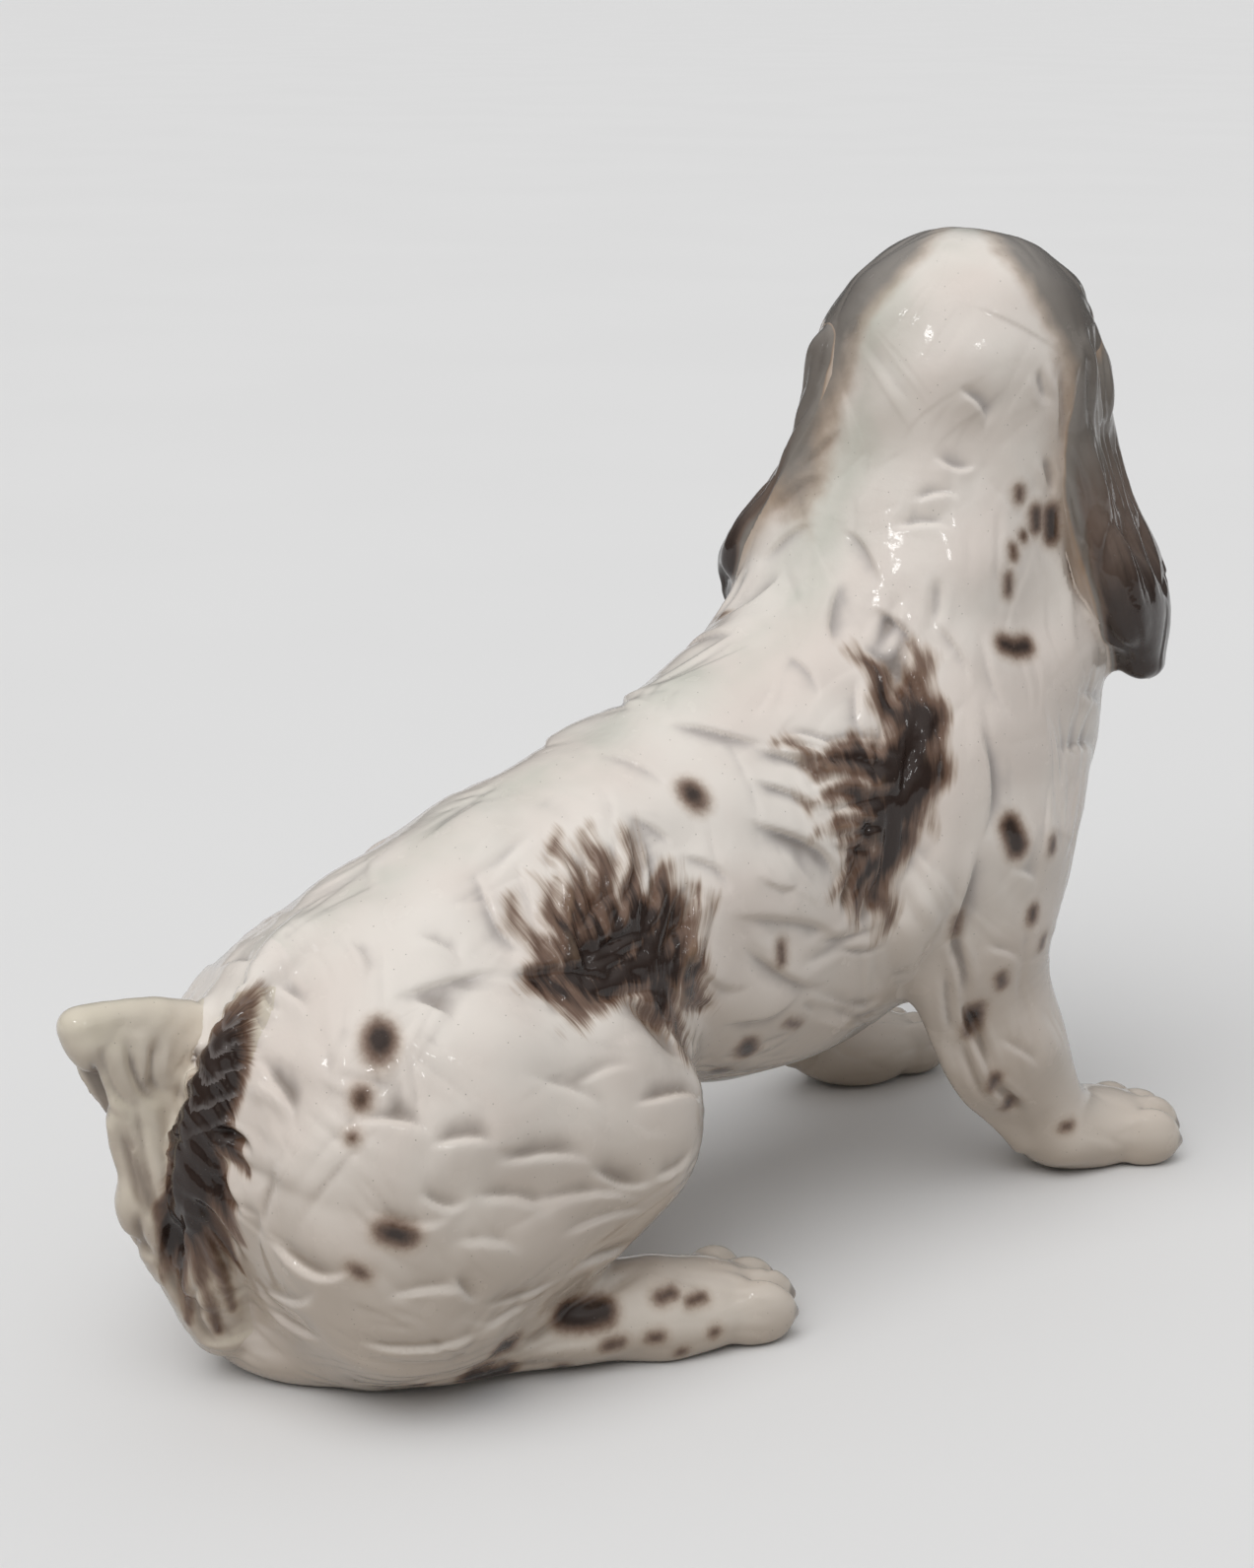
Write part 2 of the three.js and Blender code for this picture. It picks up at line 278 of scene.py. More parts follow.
# ---------------------------------------------------------------- the dog's volumes
def sculpt_torso(clay):
    node = "torso_shell"
    barrel = [
        [0, 16, 56, 44, 41],
        [0, 4, 77, 48, 51],
        [0, -30, 95, 49, 50],
        [0, -75, 110, 47, 50],
        [1, -120, 121, 48, 54],
        [3, -165, 129, 49, 59],
        [5, -205, 134, 42, 54],
    ]
    neck = [
        [3, -184, 128, 50, 62],
        [4, -204, 162, 48, 58],
        [4, -213, 198, 43, 50],
        [5, -217, 226, 37, 42],
        [5, -218, 250, 33, 35],
    ]
    clay.add(node, loft(barrel, segments=40), 4)
    neck_form = loft(neck)
    clay.add(node, neck_form, 26)
    clay.add(node, ball((6, -217, 152), (42, 43, 54), (-10, 0, 0)), 20)
    collar_forms = [neck_form]
    # Heavy hair behind the left ear, behind the right ear and down the nape.
    for x, y, out, size in ((0.35, 0.94, 31, 23), (-0.68, -0.73, 27, 23), (-0.67, 0.74, 22, 24)):
        way = np.array([x, y, 0])
        mane = [
            [*((5, -217, 256) + way * out * 0.5), size - 5, size - 5],
            [*((5, -216, 238) + way * out * 0.72), size - 2, size - 2],
            [*((5, -214, 212) + way * out), size, size],
            [*((5, -210, 186) + way * (out + 4)), size + 2, size + 2],
            [*((4, -200, 160) + way * (out + 2)), size + 2, size + 2],
        ]
        collar_forms.append(loft(mane))
        clay.add(node, collar_forms[-1], 14)
    clay.add(node, ball((0, 0, 30), (54, 43, 34)), 14)
    clay.add(node, ball((10, 20, 10), (28, 26, 14)), 12)
    clay.add(node, ball((1, -118, 90), (42, 72, 36), (12, 0, 0)), 22)
    for side in SIDES.values():
        clay.add(node, ball((3 + side * 33, -188, 128), (25, 36, 48), (8, 0, 0)), 16)
    divide_at_collar(clay, collar_forms)


def divide_at_collar(clay, neck_forms):
    """Gives the neck below the collar to the torso's casting, and the neck above it to the head's."""

    def above_collar(place):
        return sum(n * (c - p) for n, c, p in zip(COLLAR_NORMAL, place, COLLAR_POINT))

    place = clay.axes(clay.windows["torso_shell"])
    clay.own["torso_shell"] = np.maximum(clay.own["torso_shell"], above_collar(place)).astype(np.float32)
    place = clay.axes(clay.windows["head_shell"])
    neck = np.minimum.reduce([form.distance(*place) for form in neck_forms])
    neck = np.maximum(neck, -above_collar(place))
    clay.own["head_shell"] = np.minimum(clay.own["head_shell"], neck).astype(np.float32)


EYE = (15.8, -32, 3.5)  # middle of the left eyeball, in the head's frame


def sculpt_head(clay):
    node = "head_shell"

    def add(form, blend):
        clay.add(node, form, blend)

    add(ball((0, 3, 1), (38.5, 40, 38), frame=HEAD), 16)
    muzzle = [
        [0, -20, -10, 27, 25],
        [0, -42, -14, 20.5, 19],
        [0, -64, -15, 17.5, 16.5],
        [0, -82, -14, 16, 15],
    ]
    add(loft(muzzle, frame=HEAD, cap=0.55), 12)
    jaw = [
        [0, -16, -33, 17, 10],
        [0, -46, -37, 12.5, 7.5],
        [0, -74, -36, 10, 5.5],
    ]
    add(loft(jaw, frame=HEAD), 5)
    add(ball((0, -34, 16), (14, 12, 8), (30, 0, 0), HEAD), 10)  # forehead over the stop
    for side in SIDES.values():
        add(ball((side * 21, -12, -14), (15, 23, 20), frame=HEAD), 12)  # cheek
        add(ball((side * 10.5, -66, -26), (9, 21, 11.5), (-4, 0, 0), HEAD), 7)  # upper lip
        add(ball((side * 9, -83, -22), (8, 9, 9), frame=HEAD), 5)
        add(ball((side * 15.5, -31, 13), (10, 8, 6), (0, 0, side * 12), HEAD), 6)  # brow
        clay.cut(ball((side * 17, -39, 3.5), (8.5, 7, 6), (0, side * 8, 0), HEAD), 5)  # eye socket
        add(ball(to_side(side, EYE), (7.6, 7.2, 6.4), frame=HEAD), 1.2)
        lids = ((6.8, 7.6, 3.2, 8), (0.2, 7.4, 2.6, -12))
        for height, width, thick, tilt in lids:
            lid = ball((side * 16, -33.6, height), (width, 5.6, thick), (tilt, side * 8, side * 14), HEAD)
            add(lid, 2.5)
    add(ball((0, -90, -7), (9.5, 6.5, 7.5), frame=HEAD), 3)  # nose
    for side in SIDES.values():
        add(ball((side * 6.2, -92, -8), (3.8, 4.2, 4.6), frame=HEAD), 2)
        clay.cut(ball((side * 4.6, -97, -8.5), (1.9, 3.2, 1.7), (0, side * -20, 0), HEAD), 1.5)
    clay.cut(ball((0, -97, -13), (0.8, 3, 6), frame=HEAD), 2)  # groove under the nose
    for side in SIDES.values():  # line of the mouth
        line = [
            [side * 3, -90, -26, 5, 0.9],
            [side * 12, -76, -33, 5, 0.9],
            [side * 16, -56, -34, 5, 0.9],
            [side * 17, -38, -28, 5, 0.9],
        ]
        clay.cut(loft(line, frame=HEAD), 2.5)


# Ears in the head's frame: out, forward or back, up, half breadth, half thickness.
EAR_STATIONS = {
    RIGHT: [
        [27, 3, 18, 12, 5],
        [35, 3, -6, 18, 6],
        [39, 1, -30, 21, 6.5],
        [48, -1, -54, 23, 7.5],
        [56, -2, -76, 20, 8.5],
        [58, -3, -91, 10, 6.5],
    ],
    LEFT: [
        [28, 3, 18, 12, 5],
        [38, 3, -6, 18, 6],
        [42, 2, -26, 22, 6.5],
        [52, 1, -44, 22, 6.5],
        [64, 1, -60, 17, 6.5],
        [66, 0, -73, 9, 5.5],
    ],
}
EAR_FLARE = {RIGHT: 14, LEFT: 3}  # how far the front edges stand out, degrees
EAR_ROOT = (40, 4, -20)  # where the left ear turns, in the head's frame


def ear_frame(side):
    """The ear's own axes: the head's, turned about the ear's root so that the front edge flares out."""
    root = to_side(side, EAR_ROOT)
    turn = HEAD.turn @ turned(z=side * EAR_FLARE[side])
    return Frame(HEAD.world(root) - turn @ np.array(root), turn)


def ear_forms(side):
    """The leaf of an ear and its rolled rear edge."""
    stations = [[side * s[0], *s[1:]] for s in EAR_STATIONS[side]]
    edge = [
        [s[0] + side * (3 - 1.5 * n), s[1] + s[3] * 0.8, s[2] + 3, 5, 5]
        for n, s in enumerate(stations[1:5])
    ]
    leaf = loft(stations, "xz", ear_frame(side))
    return leaf, loft(edge, "xz", ear_frame(side), cap=2)


def sculpt_ears(clay):
    for name, side in SIDES.items():
        leaf, rolled = ear_forms(side)
        clay.add(f"{name}_ear", leaf, 9)
        clay.add(f"{name}_ear", rolled, 5)


# Where the paws stand and which way they turn: x, y, degrees about Z, length, width.
PAWS = {
    "right_foreleg": (-37, -247, -17, 54, 36),
    "left_foreleg": (57, -236, 6, 54, 36),
    "right_hind_leg": (-51, -69, -8, 56, 37),
    "left_hind_leg": (51, -69, 8, 56, 37),
}
PAW_HEIGHT = 24


def paw_frame(node):
    x, y, turn = PAWS[node][:3]
    return Frame((x, y, 0), turned(z=turn))


def toes(node):
    """A paw's four toes, in its own frame: centre, half sizes, the claw's place, and the fan in degrees."""
    length, width = PAWS[node][3:]
    for k in (-1.5, -0.5, 0.5, 1.5):
        reach = length * (0.25 if abs(k) > 1 else 0.34)
        centre = (k * width * 0.235, -reach, PAW_HEIGHT * 0.38)
        size = (width * 0.145, length * 0.22, PAW_HEIGHT * 0.4)
        claw = (k * width * 0.25, -reach - length * 0.17, PAW_HEIGHT * 0.36)
        yield centre, size, claw, k * 8


def sculpt_paw(clay, node):
    place = paw_frame(node)
    length, width = PAWS[node][3:]
    pad = ball((0, 0, PAW_HEIGHT * 0.42), (width * 0.46, length * 0.4, PAW_HEIGHT * 0.54), frame=place)
    clay.add(node, pad, 10)
    for centre, size, claw, fan in toes(node):
        clay.add(node, ball(centre, size, (10, 0, fan), place), 1.6)
        clay.add(node, ball(claw, (2.3, 5.2, 3.0), (38, 0, fan), place), 0.8)


def sculpt_foreleg(clay, node, side):
    x, y = PAWS[node][:2]
    wrist = (x + side * 2 + 4, y + 18)
    elbow = 3 + side * 41
    column = [
        [3 + side * 38, -192, 120, 19, 31],
        [elbow, -194, 92, 17, 26],
        [(elbow + wrist[0]) / 2, -202, 68, 14, 20],
        [wrist[0] + side * 2, -212, 46, 13, 17.5],
        [wrist[0], wrist[1] + 4, 28, 12.5, 14],
        [wrist[0], wrist[1] - 3, 14, 13, 12],
    ]
    clay.add(node, loft(column), 14)
    fringe = [
        [3 + side * 40, -180, 94, 6, 21],
        [3 + side * 41, -189, 70, 4.5, 19],
        [wrist[0] + side * 2, -198, 48, 4, 16],
        [wrist[0], wrist[1] + 18, 31, 4, 13],
        [wrist[0], wrist[1] + 7, 16, 5, 10],
    ]
    clay.add(node, loft(fringe, cap=1.2), 5)
    for back, up, size in ((-168, 96, 1), (-190, 58, 0.75)):  # locks on the back of the leg
        drop = up - size * np.array([0, 16, 33, 44])
        out = np.interp(drop, (28, 92), (wrist[0], elbow)) + side * np.array([1.5, 2.5, 1.5, 0])
        lock = [
            [out[0], back, drop[0], 5.5, 8 * size],
            [out[1], back - 6 * size, drop[1], 6, 10 * size],
            [out[2], back - 15 * size, drop[2], 5, 7 * size],
            [out[3], back - 22 * size, drop[3], 3, 2.5],
        ]
        clay.add(node, loft(lock), 2.5)
    upper_arm = [
        [side * 43 + 3, -174, 154, 8, 8],
        [side * 48 + 3, -165, 133, 9, 10],
        [side * 48 + 3, -158, 110, 9, 10],
        [side * 44 + 3, -157, 95, 8, 8],
        [side * 40 + 3, -160, 86, 5, 5],
    ]
    clay.add("torso_shell", loft(upper_arm), 2.5)
    sculpt_paw(clay, node)


def sculpt_hind_leg(clay, node, side):
    thigh = ball((side * 34, -12, 66), (31, 58, 52), (-26, 0, 0))
    window_y = clay.axes(clay.window(thigh.low, thigh.high))[1]
    # The haunch rises out of the rump at the back and stands clear of the flank in front.
    ease = np.clip((window_y + 10) / 45, 0, 1)
    clay.add(node, thigh, 5 + 20 * ease * ease * (3 - 2 * ease))
    clay.add(node, ball((side * 42, -47, 70), (23, 26, 30), (-12, 0, side * 8)), 16)
    hock = [
        [side * 14, 12, 14, 14, 18],
        [side * 24, -8, 14, 14, 19],
        [side * 37, -34, 13, 14, 18],
        [side * 46, -58, 11, 12, 17],
    ]
    clay.add(node, loft(hock, "xy"), 7)
    sculpt_paw(clay, node)


def sculpt_legs(clay):
    for name, side in SIDES.items():
        sculpt_foreleg(clay, f"{name}_foreleg", side)
        sculpt_hind_leg(clay, f"{name}_hind_leg", side)


def sculpt_tail(clay):
    stem = [
        [-4, 28, 114, 6, 7],
        [-5, 42, 105, 8, 9],
        [-4, 50, 87, 9, 9],
        [-1, 54, 64, 9, 9],
        [5, 51, 38, 10, 10],
        [11, 45, 22, 12, 11],
    ]
    clay.add("tail", loft(stem), 4)
    tuft = [
        [0, 4, 128, 9, 3],
        [-1, 20, 125, 9, 5],
        [-2, 34, 118, 6, 5],
        [-3, 43, 110, 2, 3],
    ]
    clay.add("torso_shell", loft(tuft), 2.5)
    for k, crest in enumerate((-1, 2, 5, 7, 8, 8)):  # the plume's locks fan out and curl over at the top
        sway = 2 * (k % 2)
        lock = [
            [11, 36 + 2.2 * k, 16, 9, 6],
            [11 + sway, 41 + 4.2 * k, 42, 7, 5.5],
            [12 - sway, 42 + 5 * k, 66, 6, 5.4],
            [13 + sway, 42 + 6.1 * k, 88 + crest * 0.5, 6.5, 5.6],
            [15, 43 + 6.9 * k, 98 + crest * 0.8, 6.5, 5.6],
            [16, 44 + 7 * k, 102 + crest * 0.9, 6, 5.2],
        ]
        clay.add("tail", loft(lock, cap=1), 5)
    clay.add("tail", ball((11, 65, 56), (7, 8.5, 12), (-20, 0, 0)), 3)  # a lock below the fan


def finish_clay(clay):
    """The vent, the ground faces under seat and feet, and a slight softening."""
    clay.cut(ball((0, -100, 48), (6, 6, 26)), 2)
    height = clay.axes(clay.window(clay.low, clay.low + clay.step * np.array(clay.shape)))[2]
    clay.skin = -soft_min(-clay.skin, height, 1.5)
    spread = SOFTENING / clay.step
    reach = 2
    taps = np.exp(-0.5 * (np.arange(-reach, reach + 1) / spread) ** 2)
    taps /= taps.sum()
    for axis in range(3):
        soft = clay.skin * taps[reach]
        for shift in range(1, reach + 1):
            soft += taps[reach + shift] * (np.roll(clay.skin, shift, axis) + np.roll(clay.skin, -shift, axis))
        clay.skin = soft.astype(np.float32)
    for axis in range(3):  # nothing touches the grid's own edge
        edge = [slice(None)] * 3
        for end in (0, -1):
            edge[axis] = end
            clay.skin[tuple(edge)] = np.maximum(clay.skin[tuple(edge)], 2)


def sample(clay, field, points):
    """A field's value at points, by trilinear interpolation."""
    g = (points - clay.low) / clay.step
    base = np.clip(np.floor(g).astype(int), 0, np.array(field.shape) - 2)
    f = np.clip(g - base, 0, 1)
    total = np.zeros(len(points))
    for corner in np.ndindex(2, 2, 2):
        weight = np.prod(np.where(np.array(corner) == 1, f, 1 - f), axis=1)
        i, j, k = (base + corner).T
        total += weight * field[i, j, k]
    return total


def skin_normals(clay, points, h=1.2):
    steps = np.eye(3) * h
    slope = np.stack(
        [sample(clay, clay.skin, points + s) - sample(clay, clay.skin, points - s) for s in steps], 1
    )
    return slope / np.maximum(np.linalg.norm(slope, axis=1, keepdims=True), 1e-9)


OVERLAP = 2.2  # how far a casting's skin runs on under its neighbour's, mm
SINK = 0.45  # how fast it sinks there


def cast_pieces(clay, nodes):
    """Each casting's own part of the skin, as a closed mesh of quads: name to (points in mm, quads)."""
    pieces = {}
    for node in nodes:
        window = clay.windows[node]
        rival = np.full(clay.own[node].shape, FAR, np.float32)
        for other, other_window in clay.windows.items():
            found, inside, theirs = overlap(window, other_window)
            if other != node and found:
                rival[inside] = np.minimum(rival[inside], clay.own[other][theirs])
        past = (clay.own[node] - rival) / 2
        field = np.maximum(clay.skin[window] + SINK * np.maximum(past, 0), past - OVERLAP)
        grid = openvdb.FloatGrid(FAR)
        grid.copyFromArray(np.clip(field, -4, 4).astype(np.float32))
        points, quads = grid.convertToQuads(0.0)
        first = np.array([w.start for w in window])
        points = clay.low + (points + first) * clay.step
        pieces[node] = largest_body(points, quads)
    return pieces


def largest_body(points, quads):
    """Keeps the biggest connected part of a mesh."""
    label = np.arange(len(points))
    while True:
        low = label[quads].min(1)
        new = label.copy()
        for c in range(4):
            np.minimum.at(new, quads[:, c], low)
        new = new[new]
        if (new == label).all():
            break
        label = new
    names, counts = np.unique(label, return_counts=True)
    kept = label == names[counts.argmax()]
    index = np.cumsum(kept) - 1
    return points[kept], index[quads[kept[quads[:, 0]]]]


# ---------------------------------------------------------------- places on the skin
def reach_skin(clay, start, direction, travel=150):
    """Where rays from outside meet the skin. A ray that misses it ends at the nearest place."""
    points = np.array(start, float)
    direction = np.array(direction, float)
    best, closest = points.copy(), np.full(len(points), 1e9)
    gone = np.zeros(len(points))
    while True:
        gap = sample(clay, clay.skin, points)
        better = np.abs(gap) < closest
        best[better], closest[better] = points[better], np.abs(gap)[better]
        step = np.where(gap > 0.2, np.clip(gap * 0.8, 0.2, 6), 0) * (gone < travel)
        if not step.any():
            return settle(clay, best)
        points = points + direction * step[:, None]
        gone += step


def settle(clay, points):
    """Moves points near the skin onto it."""
    points = np.array(points, float)
    for _ in range(6):
        gap = sample(clay, clay.skin, points)
        points = points - skin_normals(clay, points) * np.clip(gap, -3, 3)[:, None]
    return points


def on_side(clay, side, places):
    """Places on a flank, given as y and z."""
    places = np.array(places, float)
    start = np.column_stack([np.full(len(places), side * 95.0), places])
    return reach_skin(clay, start, (-side, 0, 0))


def from_behind(clay, places):
    """Places on the nape or the rump, given as x and z."""
    places = np.array(places, float)
    nape = places[:, 1] > 170
    start = np.column_stack([places[:, 0], np.where(nape, -140.0, 75.0), places[:, 1]])
    return reach_skin(clay, start, (0, -1, 0))


# ---------------------------------------------------------------- tooling of the coat
class Stroke:
    """One stroke of the tool between two points of the skin. Its edge is 0 for a furrow, and 1 or -1 for the
    edge of a lock that stands proud on the right or on the left of it."""

    def __init__(self, start, end, out, bow, depth, width, edge):
        run = end - start
        self.start, self.out = start, out
        self.length = np.linalg.norm(run)
        self.along = run / self.length
        self.across = np.cross(self.out, self.along)
        self.across /= np.linalg.norm(self.across)
        self.bow, self.depth, self.width, self.edge = bow, depth, width, edge
        reach = 8 * width + abs(bow) + 3
        self.low = np.minimum(self.start, end) - reach
        self.high = np.maximum(self.start, end) + reach

    def height(self, points, normals):
        step = points - self.start
        u = step @ self.along / self.length
        lean = np.clip(u, 0, 1) ** 1.5  # the stroke runs straight first and curls at its end
        v = step @ self.across - self.bow * 4 * lean * (1 - lean)
        w = np.abs(step @ self.out)
        taper = np.clip(u / 0.35, 0, 1) * np.clip((1 - u) / 0.45, 0, 1)
        taper = taper * taper * (3 - 2 * taper)
        taper = taper * (w < 0.4 * self.length + 8) * (normals @ self.out > 0.1)
        x = v / self.width
        furrow = -np.exp(-x * x) + 0.3 * np.exp(-(((np.abs(x) - 2.1) / 0.9) ** 2))
        x = x * np.where(self.edge < 0, 1, -1)  # the lock lies where x is above 0
        above = (1 - np.exp(-2.6 * np.maximum(x, 0))) * np.exp(-np.maximum(x, 0) / 3)
        below = (1 - np.exp(2.6 * np.minimum(x, 0))) * np.exp(np.minimum(x, 0) / 1.6)
        lock = 0.6 * above - 1.2 * below
        return self.depth * taper * ((1 - abs(self.edge)) * furrow + abs(self.edge) * lock)


def strokes_between(clay, starts, ends, looks):
    """Strokes between pairs of places. Each look is a bow, a depth, a width and an edge."""
    starts, ends = np.array(starts, float), np.array(ends, float)
    outs = skin_normals(clay, (starts + ends) / 2)
    return [Stroke(a, b, out, *look) for a, b, out, look in zip(starts, ends, outs, looks)]


# Most of the places in BACK_STROKES and RIGHT_SPOTS, and some of those in SIDE_STROKES and the two patches,
# were read off the photograph through its camera with a helper program, and rounded or moved by hand. The
# rest of each row was chosen one by one.

# Furrows and lock edges on a flank, seen from the side: y, z to y, z, bow, depth, width, edge.
SIDE_STROKES = [
    # ribs
    (-90, 167, -118, 161, -2, 1.5, 2.0, -1),
    (-108, 162, -127, 144, 5, 1.6, 1.9, -1),
    (-102, 155, -122, 135, 5, 1.5, 1.9, -1),
    (-96, 146, -125, 112, 9, 2.0, 2.4, -1),
    (-84, 122, -132, 100, 4, 1.3, 2.2, -1),
    (-88, 113, -128, 91, -4, 1.4, 2.2, -1),
    (-70, 161, -81, 152, 2, 0.9, 1.8, -1),
    (-64, 150, -75, 139, 2, 0.9, 1.8, -1),
    (-75, 140, -88, 126, 3, 1.0, 2.0, -1),
    (-66, 117, -96, 99, -5, 1.2, 2.2, -1),
    (-83, 88, -114, 93, -4, 1.1, 2.0, -1),
    (-95, 130, -112, 126, -3, 0.9, 1.8, -1),
    (-134, 182, -133, 170, 2, 1.0, 1.9, -1),
    (-147, 176, -143, 158, -3, 1.3, 1.8, -1),
    # flank above the haunch
    (-20, 141, -26, 120, -5, 1.4, 2.0, -1),
    (-32, 143, -34, 122, -4, 1.2, 1.7, -1),
    (-44, 149, -41, 120, -5, 1.5, 1.8, -1),
    (-38, 132, -35, 114, 3, 1.0, 1.5, 0),
    (-53, 147, -48, 122, -3, 1.3, 1.6, -1),
    (-65, 148, -50, 130, 3, 1.2, 1.6, 1),
    (-63, 139, -46, 110, -4, 1.4, 1.9, -1),
    (-72, 140, -57, 108, -4, 1.2, 1.7, -1),
    (-80, 132, -69, 101, -5, 1.3, 1.9, -1),
    # haunch
    (36, 93, 20, 85, 4, 1.5, 2.2, 1),
    (22, 86, 3, 79, 4, 1.5, 2.4, 1),
    (6, 79, -26, 69, 3, 1.5, 2.4, 1),
    (-22, 70, -47, 60, -3, 1.5, 2.2, 1),
    (-44, 60, -60, 66, -2, 1.5, 2.0, 1),
    (-36, 84, -68, 73, 3, 1.7, 2.0, 1),
    (-6, 99, -30, 74, 6, 0.9, 2.6, 1),
    (26, 74, 11, 70, -3, 1.3, 2.0, 1),
    (13, 71, -11, 57, 4, 1.4, 2.2, 1),
    (1, 66, -44, 52, 4, 1.2, 2.2, 1),
    (-12, 53, -48, 48, 3, 1.1, 2.0, 1),
    (38, 70, 16, 67, -3, 1.0, 2.0, 1),
    (-20, 92, -44, 90, 3, 0.6, 2.4, 1),
    (18, 60, -2, 50, 3, 0.9, 2.0, 1),
    (34, 46, 10, 40, 4, 1.0, 2.0, 1),
    (17, 50, 8, 38, -1, 1.2, 1.8, 1),
    (38, 31, 2, 29, -1, 1.4, 1.8, 1),
    (5, 29, -12, 31, 1, 1.2, 1.8, 1),
    (-50, 35, -18, 37, -3, 1.6, 1.8, -1),
    (-20, 37, 9, 38, 2, 1.2, 1.8, -1),
    # edge of the haunch against the flank
    (20, 117, -18, 120, 1, 1.2, 2.6, -1),
    (-12, 120, -46, 110, 3, 2.2, 2.6, -1),
    (-42, 112, -62, 86, 4, 2.2, 2.4, -1),
    # neck and shoulder
    (-160, 193, -162, 178, 4, 1.5, 2.0, -1),
    (-163, 181, -150, 166, 3, 1.5, 2.0, -1),
    (-216, 262, -221, 229, 1, 1.2, 1.8, 0),
    (-208, 259, -214, 247, -1, 1.0, 1.5, 0),
    (-213, 233, -216, 219, 1, 1.0, 1.5, 0),
    (-210, 205, -252, 177, -3, 1.6, 2.2, 1),
    (-218, 163, -248, 144, 3, 1.0, 2.2, 1),
    (-205, 148, -244, 132, 4, 1.1, 2.4, 1),
    (-172, 190, -175, 168, 3, 0.8, 1.8, -1),
    (-184, 186, -190, 160, -3, 0.8, 2.0, -1),
    (-176, 162, -171, 126, 4, 1.6, 2.2, 1),
    (-171, 128, -170, 84, -2, 1.8, 2.0, 1),
    # foreleg
    (-167, 100, -178, 70, 2, 1.4, 1.6, 0),
    (-176, 76, -195, 38, 2, 1.4, 1.6, 0),
    (-190, 46, -212, 22, 2, 1.3, 1.6, 0),
    (-168, 88, -182, 58, -2, 1.0, 1.5, 0),
    (-181, 60, -201, 30, -2, 1.0, 1.5, 0),
    (-183, 117, -195, 106, 3, 0.7, 2.0, 1),
    (-178, 93, -194, 80, 3, 0.8, 2.0, 1),
    (-192, 58, -209, 42, 2, 0.8, 1.8, 1),
]

# The same on the nape and rump, seen from behind: x, z to x, z.
BACK_STROKES = [
    (17, 226, 4, 240, 2, 1.0, 1.8, -1),
    (27, 210, 5, 226, 3, 1.2, 2.0, -1),
    (22, 198, 2, 212, 3, 1.0, 2.0, -1),
    (14, 262, 6, 272, 1, 0.8, 1.6, -1),
    (-26, 254, -31, 240, 3, 1.3, 1.6, 1),
    (-22, 233, -31, 231, -2, 1.1, 1.6, 1),
    (-20, 221, -31, 221, 2, 1.0, 1.6, 1),
    (-17, 213, -33, 211, 3, 1.2, 1.8, 1),
    (-9, 199, -24, 181, -3, 1.5, 2.0, 1),
    (-26, 197, -29, 180, 1, 0.8, 1.8, 0),
    (-32, 202, -36, 184, 1, 0.8, 1.8, 0),
    (-8, 119, -22, 112, 2, 1.0, 1.8, 1),
    (-14, 128, -27, 120, 2, 1.0, 1.8, 1),
    (-24, 129, -37, 121, 2, 1.2, 1.8, 1),
    (-36, 118, -47, 111, 2, 1.0, 1.8, 1),
    (-14, 103, -33, 86, 4, 1.5, 2.0, 1),
    (-17, 98, -30, 90, 3, 1.1, 1.8, 1),
    (-29, 78, -28, 57, -3, 1.0, 2.0, 1),
    (-25, 57, -51, 56, -5, 1.8, 2.2, 1),
    (-12, 30, -36, 29, -2, 1.5, 2.0, 1),
    (-14, 36, -42, 49, -4, 1.1, 2.0, 1),
]

# The way the hair lies: at x, y, z of the right side it runs along x, y, z, tooled with some strength.
COAT_FLOW = [
    (0, -170, 240, 0, 0.3, -1, 0.35),
    (-35, -215, 215, 0, 0.1, -1, 0.5),
    (0, -150, 195, -0.2, 0.8, -0.8, 0.35),
    (-30, -165, 180, -0.2, 0.4, -0.9, 0.6),
    (-45, -195, 150, 0, -0.1, -1, 0.6),
    (5, -262, 160, 0, 0, -1, 1.0),
    (0, -90, 165, -0.3, 1, -0.4, 0.5),
    (0, -20, 140, -0.3, 1, -0.5, 0.5),
    (-30, -80, 150, -0.4, 0.5, -0.8, 0.6),
    (-46, -90, 118, 0, -0.5, -0.7, 0.8),
    (-46, -45, 118, 0, 0.2, -1, 0.9),
    (-40, -125, 105, 0, -0.7, -0.6, 0.9),
    (0, -110, 55, 0, -1, 0.1, 0.8),
    (-20, 22, 115, -0.5, 0.7, -0.7, 0.7),
    (-40, 30, 90, -0.5, -0.3, -0.8, 0.7),
    (-60, 10, 80, 0, -0.8, -0.5, 0.5),
    (-62, -35, 85, 0, -1, -0.2, 0.2),
    (-62, -20, 50, 0, -1, 0.1, 0.6),
    (-40, 35, 40, -0.5, -0.5, -0.6, 0.7),
    (-10, 45, 60, -0.4, 0, -1, 0.8),
    (-55, -190, 120, 0, 0, -1, 0.5),
    (-48, -200, 60, 0, -0.4, -1, 0.5),
    (-20, -215, 60, 0, -0.3, -1, 0.7),
    (-40, -250, 20, 0, -1, -0.5, 0.4),
    (-50, -60, 20, -0.2, -1, -0.2, 0.4),
    (-40, -10, 15, -0.5, -1, 0, 0.7),
    (0, 40, 10, -1, 0, 0, 0.5),
]


